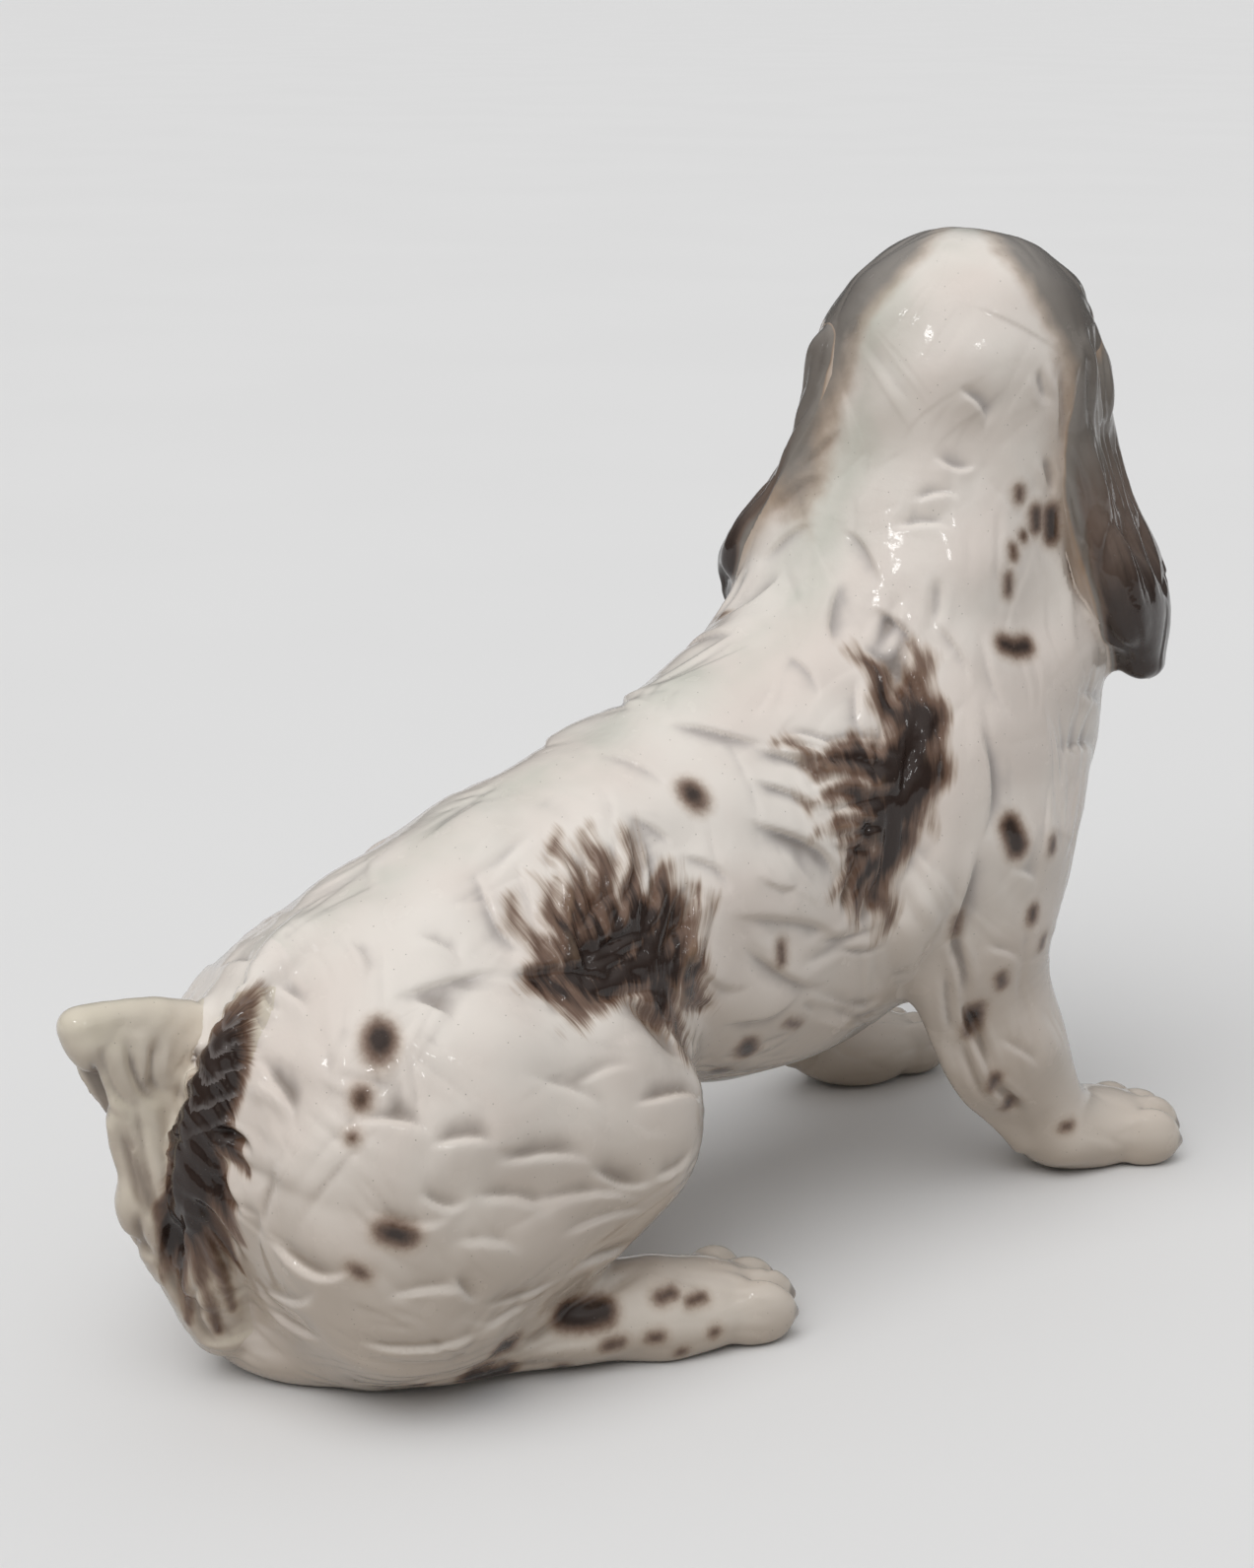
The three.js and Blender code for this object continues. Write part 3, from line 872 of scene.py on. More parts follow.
def coat_flow(points):
    """Direction of the hair at points, and how strongly it is tooled. The two sides mirror each other."""
    side = np.where(points[:, 0] > 0, -1.0, 1.0)
    mirrored = points * np.stack([side, np.ones(len(points)), np.ones(len(points))], 1)
    total = np.zeros_like(points)
    strength, weight = np.zeros(len(points)), np.zeros(len(points))
    for x, y, z, dx, dy, dz, force in COAT_FLOW:
        near = 1 / (((mirrored - (x, y, z)) ** 2).sum(1) + 150) ** 2
        total += near[:, None] * np.array([dx, dy, dz]) / np.linalg.norm([dx, dy, dz])
        strength += near * force
        weight += near
    total[:, 0] *= side
    return total / np.linalg.norm(total, axis=1, keepdims=True), strength / weight


AUTHORED_DEPTH = 1.25  # depth of the tabled strokes, as a share of what the tables say


def authored_strokes(clay):
    """The tabled strokes, mirrored on to the left side, where they are shifted a little."""
    strokes = []
    for side in (RIGHT, LEFT):
        hand = -side
        scale = (hand, AUTHORED_DEPTH, 1, hand)
        rows = np.array(SIDE_STROKES, float)
        if side == LEFT:
            rows[:, :4] += rng.uniform(-3, 3, (len(rows), 4))
        starts, ends = on_side(clay, side, rows[:, :2]), on_side(clay, side, rows[:, 2:4])
        strokes += strokes_between(clay, starts, ends, rows[:, 4:] * scale)
        rows = np.array([row for row in BACK_STROKES if side == RIGHT or row[1] < 200], float)
        starts, ends = (from_behind(clay, rows[:, k : k + 2] * (hand, 1)) for k in (0, 2))
        strokes += strokes_between(clay, starts, ends, rows[:, 4:] * scale)
    return strokes


def scattered(points, spacing):
    """A seeded choice of points about that far apart."""
    points = points[rng.permutation(len(points))]
    cells = np.floor(points / spacing).astype(int)
    chosen = points[np.unique(cells, axis=0, return_index=True)[1]]
    kept = []
    for p in chosen[rng.permutation(len(chosen))]:
        if not kept or (((np.array(kept) - p) ** 2).sum(1) > (0.7 * spacing) ** 2).all():
            kept.append(p)
    return np.array(kept)


def fill_strokes(clay, points, spacing, keep_off):
    """Seeded locks of two to four furrows that follow the hair and stay lighter near the authored ones."""
    seeds = scattered(points, spacing)
    middles = np.array([s.start + s.along * s.length / 2 for s in keep_off])
    way, strength = coat_flow(seeds)
    out = skin_normals(clay, seeds)
    way = way - out * (way * out).sum(1, keepdims=True)
    size = np.linalg.norm(way, axis=1)
    seeds, way, strength, out, size = (v[size > 0.2] for v in (seeds, way, strength, out, size))
    way = way / size[:, None]
    angle = rng.normal(0, 0.4, len(seeds))[:, None]
    way = way * np.cos(angle) + np.cross(out, way) * np.sin(angle)
    near = np.sqrt([((middles - p) ** 2).sum(1).min() for p in seeds])
    force = rng.uniform(0.35, 1.4, len(seeds)) * strength * np.clip(near / 16, 0.35, 1)
    starts, ends, looks = [], [], []
    for seed, along, normal, depth in zip(seeds, way, out, force):
        across = np.cross(normal, along)
        length, bend = rng.uniform(16, 50), rng.normal(0, 0.06)
        hand = rng.choice([-1.0, 1.0])
        for k in range(rng.integers(1, 5)):
            reach = along * length * rng.uniform(0.32, 0.5)
            middle = seed + across * k * rng.uniform(3.0, 5.5) + along * rng.normal(0, 4)
            splay = across * rng.normal(0, 2.4)
            starts.append(middle - reach - splay)
            ends.append(middle + reach + splay)
            edge = hand * rng.choice([0.3, 0.7, 1.0])
            looks.append((bend * length, depth * rng.uniform(0.5, 1.0), rng.uniform(1.1, 2.5), edge))
    return strokes_between(clay, settle(clay, starts), settle(clay, ends), looks)


# Locks of dark hair on a flank: y, z, radius at the root to y, z, radius at the tip.
SHOULDER_PATCH = [
    (-156, 159, 10, -148, 141, 11),
    (-158, 164, 8, -165, 184, 1),
    (-154, 164, 8, -150, 182, 1),
    (-147, 152, 9, -127, 156, 4),
    (-132, 155, 4, -117, 160, 1),
    (-142, 143, 8, -118, 147, 1),
    (-141, 136, 8, -121, 138, 1),
    (-145, 138, 10, -141, 116, 5),
    (-142, 118, 5, -143, 102, 1),
    (-137, 126, 7, -131, 108, 1),
    (-133, 130, 6, -125, 117, 1),
    (-160, 162, 6, -158, 149, 6),
]
FLANK_PATCH = [
    (-34, 114, 7, -60, 112, 10),
    (-40, 118, 9, -56, 124, 10),
    (-26, 117, 6, -30, 110, 5),
    (-29, 119, 5, -23, 133, 1),
    (-35, 119, 7, -34, 138, 1),
    (-41, 122, 7, -44, 146, 1.5),
    (-48, 124, 7, -52, 146, 1.5),
    (-54, 124, 7, -64, 146, 1.5),
    (-62, 116, 9, -70, 134, 3),
    (-68, 110, 7, -78, 130, 1.5),
    (-70, 104, 6, -81, 98, 1),
    (-58, 106, 8, -66, 90, 3),
    (-66, 112, 6, -74, 118, 3),
]


def patch_strokes(clay):
    """Tousled hair in the dark patches: furrows that run out along their locks."""
    starts, ends, looks = [], [], []
    for side in (RIGHT, LEFT):
        for patch in (SHOULDER_PATCH, FLANK_PATCH):
            for y1, z1, r1, y2, z2, r2 in patch:
                run = np.array([y2 - y1, z2 - z1]) / math.hypot(y2 - y1, z2 - z1)
                for share in (-0.75, -0.25, 0.3, 0.8):
                    shift = share * np.array([-run[1], run[0]])
                    back = rng.uniform(0, 5)
                    starts.append((side, *(np.array([y1, z1]) + shift * r1 - run * back)))
                    ends.append((side, *(np.array([y2, z2]) + shift * r2 + run * 2)))
                    hand = rng.choice([-1, 1])
                    bow = hand * rng.uniform(1, 3.5)
                    looks.append((bow, rng.uniform(0.9, 1.6), rng.uniform(1.2, 1.7), hand * 0.8))
    starts, ends, looks = np.array(starts), np.array(ends), np.array(looks)
    strokes = []
    for side in (RIGHT, LEFT):
        ours = starts[:, 0] == side
        a, b = on_side(clay, side, starts[ours, 1:]), on_side(clay, side, ends[ours, 1:])
        strokes += strokes_between(clay, a, b, looks[ours])
    return strokes


# The middle line of the tail's stem, and the dark tufts at its end.
STEM_SPINE = [[-6, 38, 117], [-7, 46, 109], [-8, 52, 97], [-6, 56, 84], [-4, 58, 71], [-2, 60, 58]]
TUFT_ROOTS = [(-4, 59, 68), (-4, 59, 66), (-3, 60, 64), (-1, 60, 60), (0, 61, 58), (-7, 56, 74), (-8, 54, 84)]
TUFT_TIPS = [(-9, 48, 40), (-3, 49, 27), (2, 51, 20), (6, 58, 22), (10, 62, 34), (-15, 48, 54), (-19, 47, 74)]

# Furrows of the plume, seen from the side, from the lip at its top down to its root: three places, y and z.
PLUME_FLUTES = [
    (86, 98, 76, 82, 66, 52),
    (84, 104, 71, 84, 61, 50),
    (78, 108, 65, 87, 55, 48),
    (70, 109, 60, 88, 51, 48),
    (62, 107, 55, 88, 47, 54),
    (54, 104, 49, 86, 44, 58),
    (74, 60, 64, 40, 54, 20),
    (60, 44, 56, 30, 48, 14),
    (54, 40, 50, 28, 44, 16),
]


def tail_strokes(clay):
    """Chevrons of the stem, its tufts, and the long curved furrows of the plume."""
    starts, ends, looks = [], [], []

    def stroke(start, end, *look):
        starts.append(start)
        ends.append(end)
        looks.append(look)

    for x, y, z in smooth_path(STEM_SPINE[:5], 8):
        for side in (RIGHT, LEFT):
            lag = 2.5 if side == LEFT else 0
            start = (x + side, y + 3, z + 5 - lag)
            stroke(start, (x + side * 9, y - 3, z - 7 - lag), side * 1.5, 1.5, 1.5, -side)
    for (x, y, z), tip in zip(TUFT_ROOTS, TUFT_TIPS):
        for shift in (-2.2, 0, 2.2):
            stroke((x + shift * 0.5, y, z), (tip[0] + shift, tip[1], tip[2] + 4), 1.5, 1.2, 1.2, 0)
    for side in (RIGHT, LEFT):
        for y1, z1, y2, z2, y3, z3 in PLUME_FLUTES:
            stroke((12 + side * 10, y1, z1), (12 + side * 9, y2, z2), side * 4.5, 2.4, 1.9, side * 0.5)
            lap = (y2 + (y1 - y2) * 0.3, z2 + (z1 - z2) * 0.3)
            stroke((12 + side * 9, *lap), (11 + side * 9, y3, z3), side * 2, 2.2, 1.9, side * 0.5)
    return strokes_between(clay, settle(clay, starts), settle(clay, ends), looks)


def ear_strokes(clay):
    """Long wavy folds down both faces of the ears."""
    starts, ends, looks = [], [], []
    for side in (RIGHT, LEFT):
        length = 84 if side == RIGHT else 66
        for face in (RIGHT, LEFT):
            for k in range(7):
                forward = -15 + 5.5 * k + rng.uniform(-1, 1)
                t = np.linspace(rng.uniform(0.0, 0.15), 0.95, 4)
                out = side * (34 + 26 * t + face * side * 6)
                where = np.column_stack([out, 4 + forward * (1 - 0.3 * t), 10 - length * t])
                points = settle(clay, ear_frame(side).world(where))
                for n in range(3):
                    lap = (points[n + 1] - points[n]) * 0.1
                    starts.append(points[n] - lap)
                    ends.append(points[n + 1] + lap)
                    bow = (1 if n % 2 else -1) * rng.uniform(1, 2.4)
                    looks.append((bow, rng.uniform(0.9, 1.6), rng.uniform(1.6, 2.6), rng.choice([-0.8, 0.8])))
    return strokes_between(clay, starts, ends, looks)


def tool_height(points, normals, strokes, cell=14.0):
    """What the strokes add to the skin at each point, in mm. The points are sorted into cells, to find those
    near a stroke fast."""
    height = np.zeros(len(points))
    corner = points.min(0)
    where = np.floor((points - corner) / cell).astype(int)
    size = where.max(0) + 1
    key = (where[:, 0] * size[1] + where[:, 1]) * size[2] + where[:, 2]
    order = np.argsort(key, kind="stable")
    edges = np.searchsorted(key[order], np.arange(size.prod() + 1))
    for stroke in strokes:
        first = np.clip(np.floor((stroke.low - corner) / cell).astype(int), 0, size - 1)
        last = np.clip(np.floor((stroke.high - corner) / cell).astype(int), 0, size - 1)
        runs = []
        for i in range(first[0], last[0] + 1):
            for j in range(first[1], last[1] + 1):
                row = (i * size[1] + j) * size[2]
                runs.append(order[edges[row + first[2]] : edges[row + last[2] + 1]])
        near = np.concatenate(runs)
        if len(near):
            height[near] += stroke.height(points[near], normals[near])
    return height


def lumps(points):
    """Uneven hand modelling: a few slow waves."""
    total = np.zeros(len(points))
    for _ in range(14):
        way = rng.normal(size=3)
        way *= 2 * math.pi / rng.uniform(16, 44) / np.linalg.norm(way)
        total += np.sin(points @ way + rng.uniform(0, 2 * math.pi))
    return total * 0.2


# ---------------------------------------------------------------- paint
# Spots on the right side: y, z, half length along y and z, radius.
RIGHT_SPOTS = [
    (-210, 214, 0, 2, 2.6), (-216, 212, 0, 3, 3.4), (-204, 222, 0, 1, 1.6), (-204, 210, 0, 0, 1.6),
    (-199, 206, 0, 1, 1.5), (-196, 197, 0, 2, 1.6), (-193, 180, 2, 1, 3.0), (-198, 179, 2, 0, 3.2),
    (-184, 127, 1, 3, 4.0), (-200, 121, 0, 1, 1.8), (-195, 100, 0, 1, 2.2), (-202, 89, 0, 1, 1.6),
    (-168, 101, 0, 3, 1.6), (-184, 66, 0, 5, 3.2), (-188, 79, 1, 2, 2.0), (-195, 42, 0, 2, 2.0),
    (-204, 31, 0, 1, 2.2), (-225, 20, 1, 0, 1.6), (-85, 152, 1, 3, 3.6), (-104, 106, 0, 2, 1.6),
    (-113, 81, 3, 2, 1.4), (-99, 76, 1, 2, 3.4), (-97, 66, 1, 1, 2.4), (-104, 56, 0, 1, 1.6),
    (-112, 53, 0, 0, 1.6), (24, 110, 0, 7, 4.4), (33, 98, 0, 1, 2.2), (37, 89, 0, 0, 1.4),
    (31, 64, 3, 1, 3.4), (39, 54, 2, 1, 1.6), (16, 9, 1, 0, 2.4), (-5, 7, 5, 0, 4.4),
    (-31, 20, 5, 1, 4.8), (-6, 18, 1, 0, 4.0), (0, 12, 2, 0, 2.4), (-26, 4, 0, 0, 2.2),
    (-37, 11, 2, 0, 1.8), (-48, 11, 1, 0, 1.8), (-54, 21, 2, 0, 2.0), (-62, 19, 2, 0, 1.6),
    (-65, 9, 0, 0, 1.6), (-56, 4, 0, 0, 1.6),
]
# The left side has its own spots.
LEFT_SPOTS = [
    (-200, 205, 0, 3, 3.4), (-192, 196, 0, 1, 1.8), (-206, 180, 1, 2, 3.0), (-180, 190, 0, 1, 1.6),
    (-190, 132, 2, 2, 4.2), (-204, 118, 0, 1, 2.0), (-186, 96, 0, 3, 2.4), (-200, 76, 0, 1, 1.8),
    (-190, 62, 0, 4, 2.6), (-196, 40, 0, 1, 2.0), (-100, 150, 2, 3, 4.0), (-88, 120, 0, 2, 2.2),
    (-110, 88, 2, 2, 2.6), (-98, 70, 1, 1, 2.6), (-112, 60, 0, 0, 1.8), (18, 104, 2, 5, 4.4),
    (32, 84, 0, 1, 2.2), (-8, 84, 3, 2, 3.6), (20, 56, 3, 1, 3.0), (-30, 62, 1, 1, 2.0),
    (10, 9, 4, 0, 3.2), (-28, 18, 4, 0, 4.0), (-4, 16, 1, 0, 2.6), (-44, 12, 1, 0, 1.8),
    (-58, 20, 2, 0, 2.2), (-66, 10, 0, 0, 1.6),
]
# Half the width of the white between the dark of the cap, by the angle round the head, in degrees: 0 at the
# nape, 90 over the crown, 180 in front. It is set by places that a helper program read off the photograph.
BLAZE = [
    (-90, 62), (-45, 40), (-15, 33), (15, 29), (30, 22), (40, 17), (53, 11.5), (75, 7), (105, 6.5),
    (130, 7), (150, 8), (165, 9), (180, 11), (195, 19), (212, 30), (235, 50), (270, 62),
]


def capsule(points, start, end, r0, r1):
    """How far points lie inside a tapering rod, and how far along it they are."""
    run = end - start
    t = np.clip((points - start) @ run / max(run @ run, 1e-6), 0, 1)
    gap = np.linalg.norm(points - start - t[:, None] * run, axis=1)
    return r0 + (r1 - r0) * t - gap, t


OFF = -20.0  # the value of a mask far from its paint, mm


def paint_masks(clay, points):
    """The masks that the glaze reads, in millimetres inside each painted area unless noted."""
    count = len(points)
    masks = {name: np.full(count, OFF) for name in ("patch", "spot", "stem", "cap", "eye", "nose", "claw")}
    masks.update({name: np.zeros(count) for name in ("ear", "quill", "barb")})
    # The hair runs along comb_y. Both combs are places, in mm, that the streaks of the paint are drawn from.
    masks["comb_x"] = points[:, 0].copy()
    masks["comb_y"] = points[:, 2].copy()
    for side, moved in ((RIGHT, 0), (LEFT, 9)):
        paint_flank(clay, points, masks, side, moved)
    paint_tail(clay, points, masks)
    paint_head(points, masks)
    return masks


def comb_round(masks, index, dx, dy, spread):
    """Turns the streaks at some points so that they run out from a pivot, dx and dy away."""
    masks["comb_x"][index] = np.arctan2(dx, dy) * spread
    masks["comb_y"][index] = np.hypot(dx, dy)


def paint_flank(clay, points, masks, side, moved):
    """The dark patches, which are moved apart on one side, and the spots."""
    ours = np.nonzero(points[:, 0] * side > 0)[0]
    p = points[ours]
    swayed = p + 1.8 * np.sin(p[:, [1, 2, 0]] * 0.33 + p[:, [2, 0, 1]] * 0.19)
    for patch, shift, (pivot_y, pivot_z) in (
        (SHOULDER_PATCH, moved, (-140, 40)),
        (FLANK_PATCH, -moved, (-50, 60)),
    ):
        best = np.full(len(p), OFF)
        rows = np.array(patch, float) + (shift, 0, 0, shift, 0, 0)
        starts, ends = on_side(clay, side, rows[:, :2]), on_side(clay, side, rows[:, 3:5])
        for start, end, row in zip(starts, ends, rows):
            best = np.maximum(best, capsule(swayed, start, end, row[2], row[5])[0])
        masks["patch"][ours] = np.maximum(masks["patch"][ours], best)
        near = best > -14
        comb_round(masks, ours[near], p[near, 1] - (pivot_y + shift), p[near, 2] - pivot_z, 70)
    rows = np.array(RIGHT_SPOTS if side == RIGHT else LEFT_SPOTS, float)
    for centre, (_, _, dy, dz, r) in zip(on_side(clay, side, rows[:, :2]), rows):
        reach = np.array([0, dy, dz + 0.01])
        value = capsule(p, centre - reach, centre + reach, r, r)[0]
        masks["spot"][ours] = np.maximum(masks["spot"][ours], value)


def paint_tail(clay, points, masks):
    """The stem, with the length along it as quill and the distance from its middle as barb, and its tufts."""
    spine = smooth_path(STEM_SPINE, 10)
    run = 0
    for k, (a, b) in enumerate(zip(spine[:-1], spine[1:])):
        value, t = capsule(points, a, b, min(1.5 + 1.7 * k, 8), min(3.2 + 1.7 * k, 8))
        length = np.linalg.norm(b - a)
        closer = value > masks["stem"]
        masks["stem"] = np.maximum(masks["stem"], value)
        masks["quill"] = np.where(closer, run + t * length, masks["quill"])
        masks["barb"] = np.where(closer, np.abs(points[:, 0] - a[0] - t * (b - a)[0]), masks["barb"])
        run += length
    for a, b in zip(settle(clay, TUFT_ROOTS), settle(clay, TUFT_TIPS)):
        masks["stem"] = np.maximum(masks["stem"], capsule(points, a, b, 5.2, 0.9)[0])
    near = (masks["stem"] > -12) & (points[:, 1] > 20)
    comb_round(masks, near, points[near, 0] + 6, -(points[near, 2] - 105), 45)


def paint_head(points, masks):
    """The cap, the painted shadow beside the ears, the eyes and the nose."""
    x, y, z = HEAD.local(*points.T)
    angle = (np.degrees(np.arctan2(z, y)) + 90) % 360 - 90
    half = np.interp(angle, *zip(*BLAZE))
    cap = np.minimum(np.abs(x) - half, (y + 50) * 0.9)
    cap = np.minimum(cap, (z + 34) + np.maximum(np.abs(x) - 24, 0) * 2)
    away_from_head = np.sqrt(x * x + y * y + z * z)
    cap = np.minimum(cap, (72 - away_from_head) * 0.7)
    masks["cap"] = np.where(points[:, 2] > 150, cap, OFF)
    forms = [form for side in (RIGHT, LEFT) for form in ear_forms(side)]
    masks["gap"] = np.min([form.distance(*points.T) for form in forms], axis=0)  # distance to the ears
    # Painted shadow of the ears: tan on the head and neck beside them.
    masks["ear_shadow"] = np.clip(1 - masks["gap"] / 13, 0, 1) * np.clip((points[:, 2] - 165) / 25, 0, 1)
    for side in (RIGHT, LEFT):
        masks["eye"] = np.where(*eye_opening(points, side), masks["eye"])
        nose = np.linalg.norm(points - HEAD.world((side * 4, -93, -7)), axis=1)
        masks["nose"] = np.maximum(masks["nose"], 9.5 - nose)


def eye_opening(points, side):
    """Whether points lie on an eyeball, and the degrees inside the almond shape between the lids."""
    step = points - HEAD.world(to_side(side, EYE))
    look = HEAD.turn @ np.array([side * 0.3, -0.95, -0.05])
    size = np.linalg.norm(step, axis=1)
    away = np.degrees(np.arccos(np.clip(step @ look / size, -1, 1)))
    height = np.degrees(np.arcsin(np.clip(step @ HEAD.turn[:, 2] / size, -1, 1)))
    corner = 0.007 * np.maximum(away**2 - height**2, 0)
    return size < 9.5, np.minimum(64 - away, 3 * (36 - np.abs(height + 2) - corner))


def dress_piece(node, masks, points):
    """Masks that depend on the casting."""
    _, y, z = HEAD.local(*points.T)
    if node.endswith("_ear"):
        tip = -88 if node.startswith("right") else -72
        masks["cap"] = 24 - 11 * np.maximum(masks["gap"] - 1.2, 0)
        masks["ear"] = np.clip((z - 8) / (tip - 8), 0, 1) * np.clip(2 - masks["gap"] / 1.5, 0, 1)
        masks["comb_x"], masks["comb_y"] = y, z
        masks["spot"][:] = OFF
    if node in FINE_NODES:
        masks["patch"][:] = OFF
    if node != "tail" and node != "torso_shell" and not node.endswith("hind_leg"):
        masks["stem"][:] = OFF
    masks["stem"] -= np.maximum(points[:, 0] - 8, 0) * 1.3
    for paw in PAWS:
        for _, _, claw, _ in toes(paw):
            gap = np.linalg.norm(points - paw_frame(paw).world(claw), axis=1)
            masks["claw"] = np.maximum(masks["claw"], 3.4 - gap)
    on_back = (points[:, 1] < 30) * (points[:, 2] > 100)
    masks["wash"] = np.clip(1 - np.abs(points[:, 0]) / 20, 0, 1) * on_back
    foot = np.clip(1 - points[:, 2] / 34, 0, 1) if node.endswith("leg") else 0
    masks["cream"] = np.maximum(np.full(len(points), 1.0 if node == "tail" else 0.0), foot * 0.7)


# ---------------------------------------------------------------- meshes
def make_mesh(name, points, quads, masks):
    mesh = bpy.data.meshes.new(name)
    mesh.vertices.add(len(points))
    mesh.vertices.foreach_set("co", (points * MM).astype(np.float32).ravel())
    mesh.loops.add(quads.size)
    mesh.loops.foreach_set("vertex_index", quads.astype(np.int32).ravel())
    mesh.polygons.add(len(quads))
    mesh.polygons.foreach_set("loop_start", np.arange(0, quads.size, 4, dtype=np.int32))
    mesh.update(calc_edges=True)
    mesh.shade_smooth()
    for key, values in masks.items():
        mask = mesh.attributes.new(key, "FLOAT", "POINT")
        mask.data.foreach_set("value", values.astype(np.float32))
    piece = bpy.data.objects.new(name, mesh)
    bpy.context.scene.collection.objects.link(piece)
    return piece


# ---------------------------------------------------------------- glaze
class Nodes:
    """Short calls for building a node tree."""

    def __init__(self, tree):
        self.tree = tree
        tree.nodes.clear()

    def add(self, kind, *values, out=0, **settings):
        node = self.tree.nodes.new(kind)
        named = {}
        for key, value in settings.items():
            if hasattr(node, key):
                setattr(node, key, value)
            else:
                named[key.replace("_", " ")] = value
        for socket, value in list(zip(node.inputs, values)) + [(node.inputs[k], v) for k, v in named.items()]:
            self.feed(socket, value)
        return node.outputs[out]

    def feed(self, socket, value):
        if isinstance(value, bpy.types.NodeSocket):
            self.tree.links.new(value, socket)
        elif value is not None:
            socket.default_value = value

    def math(self, operation, a, b=0.0, c=0.0):
        return self.add("ShaderNodeMath", a, b, c, operation=operation)

    def mask(self, name):
        return self.add("ShaderNodeAttribute", attribute_name=name, out=2)

    def noise(self, vector, scale, detail=2.0, rough=0.5):
        return self.add("ShaderNodeTexNoise", Vector=vector, Scale=scale, Detail=detail, Roughness=rough)

    def step(self, value, low, high, bottom=0.0, top=1.0):
        """A smooth rise from bottom to top while the value goes from low to high."""
        return self.add("ShaderNodeMapRange", value, low, high, bottom, top, interpolation_type="SMOOTHSTEP")

    def blend(self, amount, a, b):
        node = self.tree.nodes.new("ShaderNodeMix")
        node.data_type = "RGBA"
        self.feed(node.inputs[0], amount)
        self.feed(node.inputs[6], a)
        self.feed(node.inputs[7], b)
        return node.outputs[2]

    def finish(self, kind, shader):
        """Ends the tree in an output."""
        end = self.tree.nodes.new(kind)
        self.tree.links.new(shader, end.inputs["Surface"])

    def surface(self, settings):
        """Ends the tree in a Principled surface."""
        shader = self.tree.nodes.new("ShaderNodeBsdfPrincipled")
        for key, value in settings.items():
            self.feed(shader.inputs[key], value)
        self.finish("ShaderNodeOutputMaterial", shader.outputs[0])


def new_material(name):
    material = bpy.data.materials.new(name)
    material.use_nodes = True
    return material, Nodes(material.node_tree)


def tone(r, g, b):
    return (r, g, b, 1.0)


WHITE = tone(0.85, 0.795, 0.735)
ROSE = tone(0.79, 0.71, 0.65)
CREAM = tone(0.75, 0.69, 0.565)
# LILAC and TAUPE colour the furrows, as pooled glaze and painted shade, and LILAC also the chevrons of the
# tail's stem. DUSK is painted shade in the deepest furrows, and also colours the claws.
LILAC = tone(0.40, 0.365, 0.35)
TAUPE = tone(0.36, 0.285, 0.22)
DUSK = tone(0.19, 0.15, 0.12)
# The next tone is painted shade, for the lower parts and the faces that turn downwards.
UNDERSIDE_SHADE = tone(0.52, 0.43, 0.345)
SAGE = tone(0.58, 0.585, 0.51)
TAN = tone(0.36, 0.24, 0.15)
BROWN = tone(0.135, 0.07, 0.043)
UMBER = tone(0.026, 0.016, 0.013)
SMOKE = tone(0.235, 0.216, 0.195)
BLACK = tone(0.012, 0.010, 0.009)
PIT = tone(0.16, 0.13, 0.11)


def glazed_clay(n, place, drift, ground):
    """The colour of the bare glaze: mottled, with painted shade on the lower and downward-facing parts,
    darker in the hollows, partly where the glaze pools and partly as painted shade, and with painted shadow
    by the ears.
    """
    body = n.blend(n.step(n.noise(place, 0.022, 3.0), 0.35, 0.65), ground, ROSE)
    body = n.blend(n.math("MULTIPLY", n.mask("cream"), 0.6), body, CREAM)
    wash = n.math("MULTIPLY", n.mask("wash"), n.step(n.noise(place, 0.05, 2.0), 0.3, 0.7, 0.15, 0.75))
    body = n.blend(wash, body, SAGE)
    # Painted shade: darker on the lower parts and on the faces that turn downwards.
    up = n.add("ShaderNodeSeparateXYZ", n.add("ShaderNodeNewGeometry", out=1), out=2)
    low = n.step(n.add("ShaderNodeSeparateXYZ", place, out=2), 140.0, 30.0)
    low_shade_amount = n.math("ADD", n.step(up, 0.45, -0.5, 0.0, 0.55), n.math("MULTIPLY", low, 0.36))
    body = n.blend(low_shade_amount, body, UNDERSIDE_SHADE)
    # Darker in the furrows: partly glaze that pools there, partly painted shade, lilac-grey above and browner
    # below.
    pooled_glaze_and_shade = n.step(n.math("ADD", n.mask("hollow"), n.math("MULTIPLY", drift, -0.6)), -0.1, -1.3)
    body = n.blend(n.math("MULTIPLY", pooled_glaze_and_shade, 0.75), body, n.blend(low, LILAC, TAUPE))
    # The deepest furrows get more painted shade.
    body = n.blend(n.step(n.mask("hollow"), -0.9, -2.0, 0.0, 0.5), body, DUSK)
    # The painted shadow of the ears, in tan.
    ear_shadow = n.step(n.math("ADD", n.mask("ear_shadow"), n.math("MULTIPLY", drift, 0.3)), 0.1, 0.95, 0.0, 0.7)
    return n.blend(ear_shadow, body, TAN)


def airbrushed(n, body, value, layers):
    """Layers of colour, each with the values where it starts and is full, its amount and its colour."""
    for low, high, amount, colour in layers:
        body = n.blend(n.step(value, low, high, 0.0, amount), body, colour)
    return body


